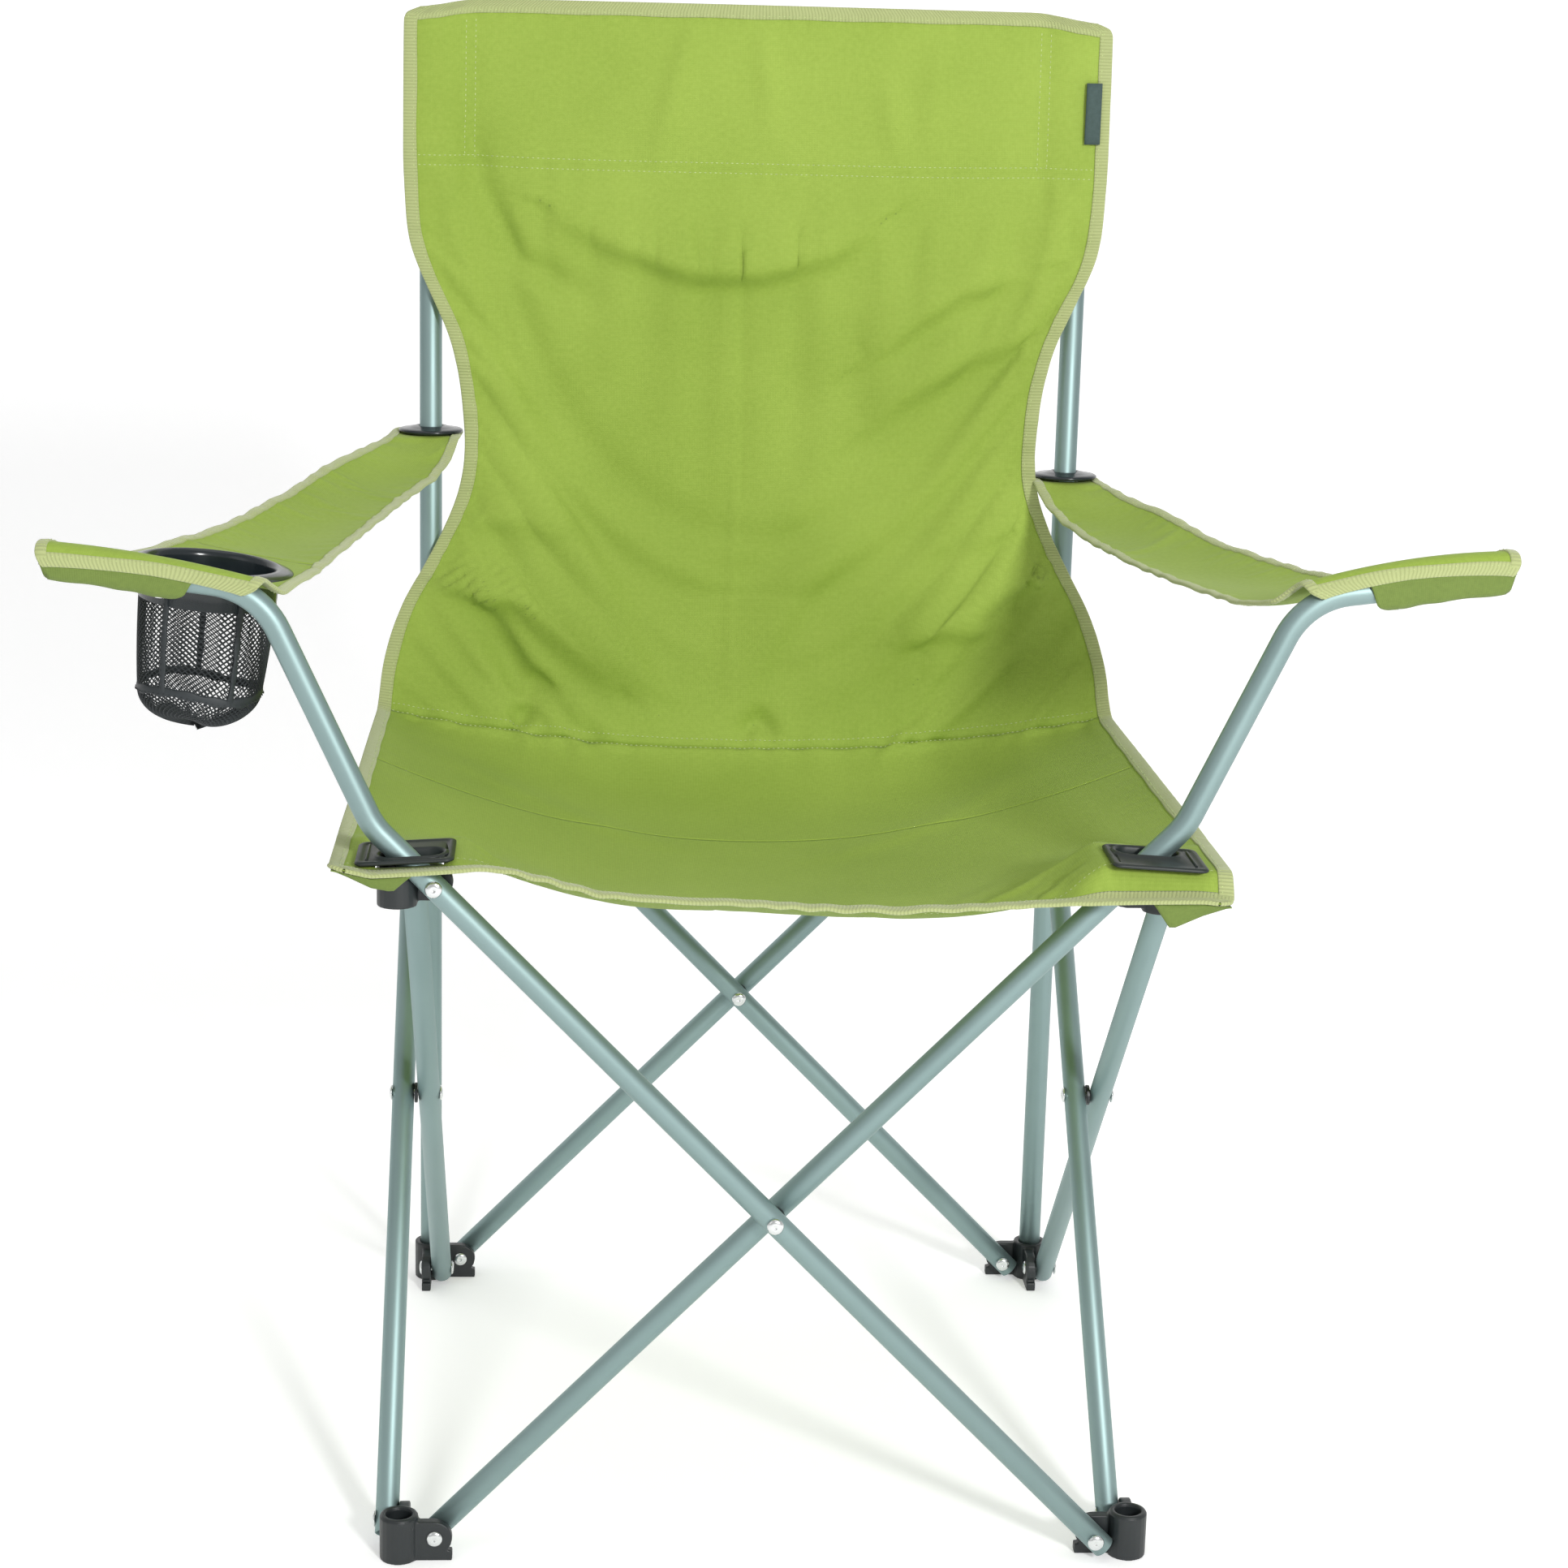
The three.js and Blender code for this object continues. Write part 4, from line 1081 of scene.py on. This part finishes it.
# Rear end of each strip at rest and, in its arm's own frame, when folded; y of the strip's first bend.
ARM_END = {
    "left": ((-217, 217, 611), (-330.1, -97.8, 559.9), -111.5),
    "right": ((217, 217, 587), (315.8, -97.8, 540.6), -148),
}
for side, sx in (("left", -1), ("right", 1)):
    plane = FRONT_LEFT_PLANE if sx < 0 else FRONT_RIGHT_PLANE
    lines = [arm_line(side, plane, True), arm_line(side, plane, False)]
    total = lengths(lines[0])[-1]
    rows = np.array(
        [0, 2.7, 5.4, 8.0] + list(np.linspace(8, total - 8, ARM_ROWS - 6)[1:-1])
        + [total - q for q in (8.0, 5.4, 2.7, 0)])
    shares = rows / total
    rest_end, folded_end, split_y = (np.array(v, float) for v in ARM_END[side])
    away = rest_end - folded_end
    shorter = np.linalg.norm(away)
    away /= shorter
    inner, outer = (resample(line, 0, shares) for line in lines)
    # Between its ends the strip's rows lie square to the way it shortens.
    flat_away = np.array([away[0] * sx, away[1]])
    dense = resample(lines[1], 400)
    level = np.interp(inner[:, :2] @ flat_away, dense[:, :2] @ flat_away, np.linspace(0, 1, 400))
    mix = ramp(rows, 45, 100) * ramp(total - rows, 40, 220)
    outer = resample(lines[1], 0, shares * (1 - mix) + level * mix)
    # the crest of the strip over the straight of the tube
    loose = 0.0 if side == "left" else 3.5
    rise = 3.5 if side == "left" else 5.0
    grid = np.zeros((len(rows), ARM_COLUMNS, 3))
    uv = np.zeros((len(rows), ARM_COLUMNS, 2))
    for i in range(len(rows)):
        width = np.linalg.norm(outer[i] - inner[i])
        d = np.array(TAPE_D + list(np.linspace(8.0, width - 8.0,
                                               ARM_COLUMNS - 6)[1:-1]) + [width - q for q in TAPE_D[::-1]])
        if width < 40:
            d = np.linspace(0, width, ARM_COLUMNS)
        u = d / width
        p = inner[i][None] * (1 - u[:, None]) + outer[i][None] * u[:, None]
        # over the tube the strip follows its straight, and falls to the inner corner in a curve
        over = float(ramp(-p[:, 1].mean(), -(plane + 24), -(plane + 6)))
        p[:, 2] += over * rise * np.sin(np.pi * np.clip(u, 0, 1)) ** 0.8
        end = rows[-1] - rows[i]
        if end < 12:
            squeeze = 12 * (1 - math.sqrt(1 - max(0.0, 1 - end / 12) ** 2))
            p[:, 0] += squeeze * (1 - 2 * u)
        if rows[i] < 14:
            squeeze = 9 * (1 - math.sqrt(1 - max(0.0, 1 - rows[i] / 14) ** 2))
            p[:, 0] += squeeze * np.clip(1 - 2 * u, 0, 1)
        p[:, 0] *= sx
        if side == "left":
            # the strip lies flat under the ring's flange
            gap = np.hypot(p[:, 0] - RING[0], p[:, 1] - RING[1])
            flat = RING[2] + 7.6 - (p[:, 0] - RING[0]) * math.tan(TILT)
            close = (1 - ramp(gap, 47, 66)) * ramp(p[:, 1], plane + 8, plane + 16)
            p[:, 2] = p[:, 2] * (1 - close) + flat * close
        grid[i] = p
        uv[i] = np.column_stack([d, np.full(ARM_COLUMNS, rows[i])])
    held = np.zeros(grid.shape[:2])
    held[rows < 44] = 1
    held[rows > total - 40] = 1
    held[:, :2] = held[:, -2:] = 0.7
    if side == "left":
        held[np.hypot(grid[..., 0] - RING[0], grid[..., 1] - RING[1]) < 58] = 1
    grid = settle("arm_sim_" + side, grid, held, frames=30, grow=0.006, gravity=0.5, bend=1.5)
    grid, uv = finer(grid, 0), finer(uv, 0)
    rows = finer(rows, 0)
    nn = normals_of(grid)
    up = 1 if nn[100, ARM_COLUMNS // 2, 2] > 0 else -1
    nn = nn * up
    bumps = np.zeros(grid.shape[:2])
    edge = np.minimum(uv[..., 0], uv[..., 0].max(axis=1, keepdims=True) - uv[..., 0])
    wave = np.sin(rows * 0.21 + 1.3 * np.sin(rows * 0.06))[:, None]
    bumps += 0.5 * wave * np.exp(-edge / 9)
    bumps += 0.8 * np.sin(rows * 0.045 + 1)[:, None] * np.sin(uv[..., 0] * 0.06)
    calm = ramp(rows, 30, 60)[:, None] * ramp(rows[-1] - rows, 20, 60)[:, None]
    if side == "left":
        calm = calm * ramp(np.hypot(grid[..., 0] - RING[0], grid[..., 1] - RING[1]), 47, 60)
    grid = grid + nn * (bumps * calm)[..., None]
    nn = normals_of(grid) * up
    body = BODY_OF["armrest_fabric_" + side]

    def hole(c):
        cut = np.hypot(c[:, 0] - sx * CORNER, c[:, 1] - CORNER) < 12.0
        if side == "left":
            cut |= np.hypot(c[:, 0] - RING[0], c[:, 1] - RING[1]) < 42
        return cut

    split = int(np.argmin(np.abs(grid[:, ARM_COLUMNS // 2, 1] - split_y)))
    pieces = []
    for part, a, b in (("front", 0, split + 1), ("rear", split, len(grid))):
        g, gn, guv = grid[a:b], nn[a:b], uv[a:b]
        cloth = cloth_piece(f"armrest_{side}_{part}", g, guv, hole, front=up)
        trim = Trim()
        for sign in (1, -1):
            cols = [k if sign > 0 else -1 - k for k in (0, 1, 2)]
            trim.tape(g[:, cols[0]], g[:, cols[1]], g[:, cols[2]], gn[:, cols[0]])
        if part == "front":
            trim.tape(g[0], g[3], g[6], gn[0], thick=0.9)
        else:
            trim.tape(g[-1], g[-4], g[-7], gn[-1])
        edging = trim.make(f"armrest_{side}_{part}_trim")
        pieces.append((cloth, edging))
    # the underside of the sleeve that takes the end of the arm tube, in green cloth painted darker as shade
    rim = grid[1]
    order = np.argsort(np.abs(rim[:, 0]))
    wrap = []
    for x in np.linspace(324, 408, 44):
        start = np.array([np.interp(x, np.abs(rim[order, 0]), rim[order, k]) for k in range(3)])
        z = tube_z(x)
        open_end = max(0.0, (372 - x) / 48)
        ring = []
        for t in np.linspace(0, 1, 22):
            angle = math.radians(200 + 150 * t)
            r = 8.9 + 0.3 * math.sin(x * 0.21) + 1.1 * math.sin(math.pi * t)
            spot = np.array([sx * x, plane + r * math.cos(angle), z + r * math.sin(angle)])
            mix = float(ramp(t, 0, 0.22))
            start_here = np.array([sx * x, start[1] + 0.6, start[2] - 0.5])
            spot = start_here * (1 - mix) + spot * mix
            spot[0] += sx * (34 * open_end * t + (-3.5 * math.sin(math.pi * t) if x > 405 else 0))
            ring.append(spot)
        wrap.append(ring)
    wrap = np.array(wrap)
    wrap_uv = np.stack(np.meshgrid(lengths(wrap[0]), lengths(wrap[:, 0])), axis=2)
    sleeve = cloth_piece(f"armrest_{side}_sleeve", wrap, wrap_uv, mats=[CLOTH_PAINTED_SHADE])
    snap_points, snap_faces = lathe([(0.02, -2.4), (2.6, -2.2), (4.2, -1.2), (4.6, 0), (4.4, 0.6)], 28,
                                    (sx * 344, plane + 1.5, tube_z(344) - 10.2))
    snap = make(f"armrest_{side}_snap", snap_points, snap_faces, BRIGHT)
    for cloth, edging in pieces:
        for obj in (cloth, edging):
            finish_piece(obj, body)
    for obj in (sleeve, snap):
        finish_piece(obj, body)
    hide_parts("armrest_fabric_" + side)
    for obj in pieces[1]:
        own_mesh(obj)
    # grommet where the strip goes round the upright
    z = GROMMET_Z[side]
    profile = [(7.9, z - 2.2), (7.8, z + 2.6), (8.6, z + 3.6), (10.5, z + 3.9), (13.5, z + 3.0),
               (17, z + 2.4), (20.4, z + 2.0), (21.6, z + 1.2), (21.6, z + 0.3), (20.8, z - 0.6),
               (10, z - 1.6), (7.9, z - 2.2)]
    points, faces = lathe(profile, 56, (sx * CORNER, CORNER, 0), "z", (1.0, 0.93))
    finish_piece(make(f"grommet_{side}", points, faces, GLOSS), BODY_OF["armrest_grommet_" + side],
                 ["armrest_grommet_" + side])

# ---------------------------------------------------------------- cup holder

TURN = Matrix.Rotation(TILT, 3, "Y")


def tilted(points):
    """Local points of the cup holder, whose z is 0 at the ring's top, to the part's frame."""
    points = np.asarray(points, float)
    turned = points @ np.array(TURN).T
    return turned + RING + np.array([0, 0, 11.0])


profile = [(36.2, -22), (36.0, -4), (36.6, -1.6), (38.2, -0.3), (40.4, -0.6), (44.0, -1.7), (46.4, -2.6),
           (47.2, -3.5),
           (46.8, -4.2), (40.5, -4.4), (39.0, -5.5), (38.8, -22), (36.2, -22)]
points, faces = lathe(profile, 96)
finish_piece(make("cup_ring_skin", tilted(points), faces, GLOSS), BODY_OF["cup_ring"], ["cup_ring"])

# Knitted net: rhombic cells on a bag with a hanging bottom.
AROUND, DOWN = 60, 64
WALL = 0.66


def bag(a, s):
    """A point of the bag: a round it from 0 to 1, s down it from 0 to 1."""
    angle = 2 * math.pi * a
    wall = min(s / WALL, 1.0)
    r = 38.2 - 3.6 * wall ** 2 + (0.9 * math.sin(3 * angle + 3) + 0.5 * math.sin(5 * angle)) * wall
    z = -6.0 - 67.0 * wall
    if s > WALL:
        f = (s - WALL) / (1 - WALL)
        r *= math.cos(f * math.pi / 2) ** 0.85
        z -= (21 + 2.5 * math.sin(angle)) * math.sin(f * math.pi / 2)
    z += 1.6 * math.sin(3 * angle + 1.2) * math.sin(math.pi * min(s / WALL, 1) * 0.5) ** 4
    return np.array([r * math.cos(angle), r * math.sin(angle), z])


points = []
for j in range(DOWN + 1):
    for i in range(AROUND):
        points.append(bag((i + 0.5 * (j % 2)) / AROUND, j / DOWN * 0.996))
faces = []
for j in range(0, DOWN - 1):
    for i in range(AROUND):
        if j % 2 == 0:
            b, d = (j + 1) * AROUND + (i - 1) % AROUND, (j + 1) * AROUND + i
        else:
            b, d = (j + 1) * AROUND + i, (j + 1) * AROUND + (i + 1) % AROUND
        faces.append((j * AROUND + i, b, (j + 2) * AROUND + i, d))
net = make("cup_net", tilted(points), faces, NET)
wire = net.modifiers.new("strands", "WIREFRAME")
wire.thickness = 1.05 * MM
wire.use_even_offset = False
applied(net)
net.data.shade_smooth()
finish_piece(net, BODY_OF["cup_pocket"], ["cup_pocket"])
seams = Trim()


def seam(curve, side_way, half):
    """A bound seam of the net along a curve of local points."""
    out = curve.copy()
    out[:, 2] *= 0.12
    out /= np.linalg.norm(out, axis=1, keepdims=True)
    curve, lifted = tilted(curve), out @ np.array(TURN).T
    way = side_way @ np.array(TURN).T
    wide = (half * (1 + 0.25 * np.sin(lengths(curve) * 0.4)))[:, None]
    seams.tape(curve + way * wide, curve, curve - way * wide, lifted, thick=0.5, lift=0.3)


for a in (0.27, 0.665, 0.845):
    curve = np.array([bag(a, s) for s in np.linspace(0.0, WALL, 40)])
    radial = curve / np.linalg.norm(curve[:, :2], axis=1, keepdims=True)
    seam(curve, np.column_stack([-radial[:, 1], radial[:, 0], np.zeros(len(curve))]), 1.2)
for s0, half in ((0.012, 1.4), (WALL, 1.9)):
    curve = np.array([bag(a, s0) for a in np.linspace(0, 1, 120)])
    seam(curve, np.tile([0.0, 0.0, 1.0], (len(curve), 1)), half)
seam_obj = seams.make("cup_net_seams")
seam_obj.data.materials[0] = NET
seam_obj.data.materials[1] = NET
finish_piece(seam_obj, BODY_OF["cup_pocket"])

# Side tag, plain
low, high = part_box("side_tag")
tag_grid = np.zeros((9, 5, 3))
for i in range(9):
    for j in range(5):
        x = (low.x + (high.x - low.x + 0.001) * j / 4) / MM
        z = (high.z - (high.z - low.z) * i / 8) / MM
        tag_grid[i, j] = (x, low.y / MM - 1.2 * (1 - j / 4) - 0.5 * math.sin(i * 0.7) * (1 - j / 4) + 3.4, z)
tag_uv = np.stack(np.meshgrid(np.linspace(0, 11, 5), np.linspace(0, 36, 9)), axis=2)
tag = cloth_piece("tag", tag_grid, tag_uv, thick=0.7, mats=[TAG])
finish_piece(tag, "rear_left_leg", ["side_tag"])
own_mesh(tag)

# ---------------------------------------------------------------- stage

scene = bpy.context.scene
world = bpy.data.worlds.new("studio")
scene.world = world
world.use_nodes = True
background = world.node_tree.nodes["Background"]
background.inputs[0].default_value = (1, 1, 1, 1)
background.inputs[1].default_value = 0.5

# A pale floor that curves up into the wall behind.
profile = [(-6000, 0), (1500, 0)]
profile += [(1500 + 1500 * math.sin(t), 1500 - 1500 * math.cos(t))
            for t in np.linspace(0, math.pi / 2, 24)[1:]]
profile += [(3000, 6000)]
stage_points = [(x, y, z) for x in (-7000, 7000) for y, z in profile]
stage_faces = [(k, len(profile) + k, len(profile) + k + 1, k + 1) for k in range(len(profile) - 1)]
floor_mat, _, floor_bsdf = new_material("floor_pale")
floor_bsdf.inputs["Base Color"].default_value = (0.93, 0.93, 0.93, 1)
floor_bsdf.inputs["Roughness"].default_value = 0.9
floor_bsdf.inputs["Emission Color"].default_value = (1, 1, 1, 1)
floor_bsdf.inputs["Emission Strength"].default_value = 0.3
floor_bsdf.inputs["Specular IOR Level"].default_value = 0.1
floor = make("floor", stage_points, stage_faces, floor_mat)
floor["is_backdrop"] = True


def lamp(name, place, target, size, power):
    data = bpy.data.lights.new(name, "AREA")
    data.shape = "DISK"
    data.size = size
    data.energy = power
    obj = bpy.data.objects.new(name, data)
    scene.collection.objects.link(obj)
    obj.location = place
    obj.rotation_euler = (Vector(target) - Vector(place)).to_track_quat("-Z", "Y").to_euler()
    return obj


lamp("key", (1.15, -3.0, 1.62), (0, 0.1, 0.5), 0.45, 72)
lamp("fill", (-2.4, -2.2, 1.8), (0, 0, 0.4), 2.0, 5)
lamp("top", (0.0, -0.2, 3.4), (0, 0, 0.4), 2.6, 12)
scene.view_settings.view_transform = "Standard"
scene.view_settings.look = "None"

camera_data = bpy.data.cameras.new("camera")
camera_data.sensor_width = 36
camera_data.lens = 3976.27 / 1932 * 36
camera_data.dof.use_dof = False
camera_data.clip_end = 50
camera = bpy.data.objects.new("camera", camera_data)
scene.collection.objects.link(camera)
scene.camera = camera
yaw, pitch, roll = math.radians(3.9103), math.radians(13.675), math.radians(1.5021)
forward = Vector((math.sin(yaw) * math.cos(pitch), math.cos(yaw) * math.cos(pitch), -math.sin(pitch)))
right = Vector((math.cos(yaw), -math.sin(yaw), 0))
up = right.cross(forward)
right2 = math.cos(roll) * right + math.sin(roll) * up
up2 = -math.sin(roll) * right + math.cos(roll) * up
matrix = Matrix.Identity(4)
for i in range(3):
    matrix[i][0], matrix[i][1], matrix[i][2] = right2[i], up2[i], -forward[i]
matrix.translation = Vector((-0.12084, -1.97428, 0.90156))
camera.matrix_world = matrix

low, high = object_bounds()
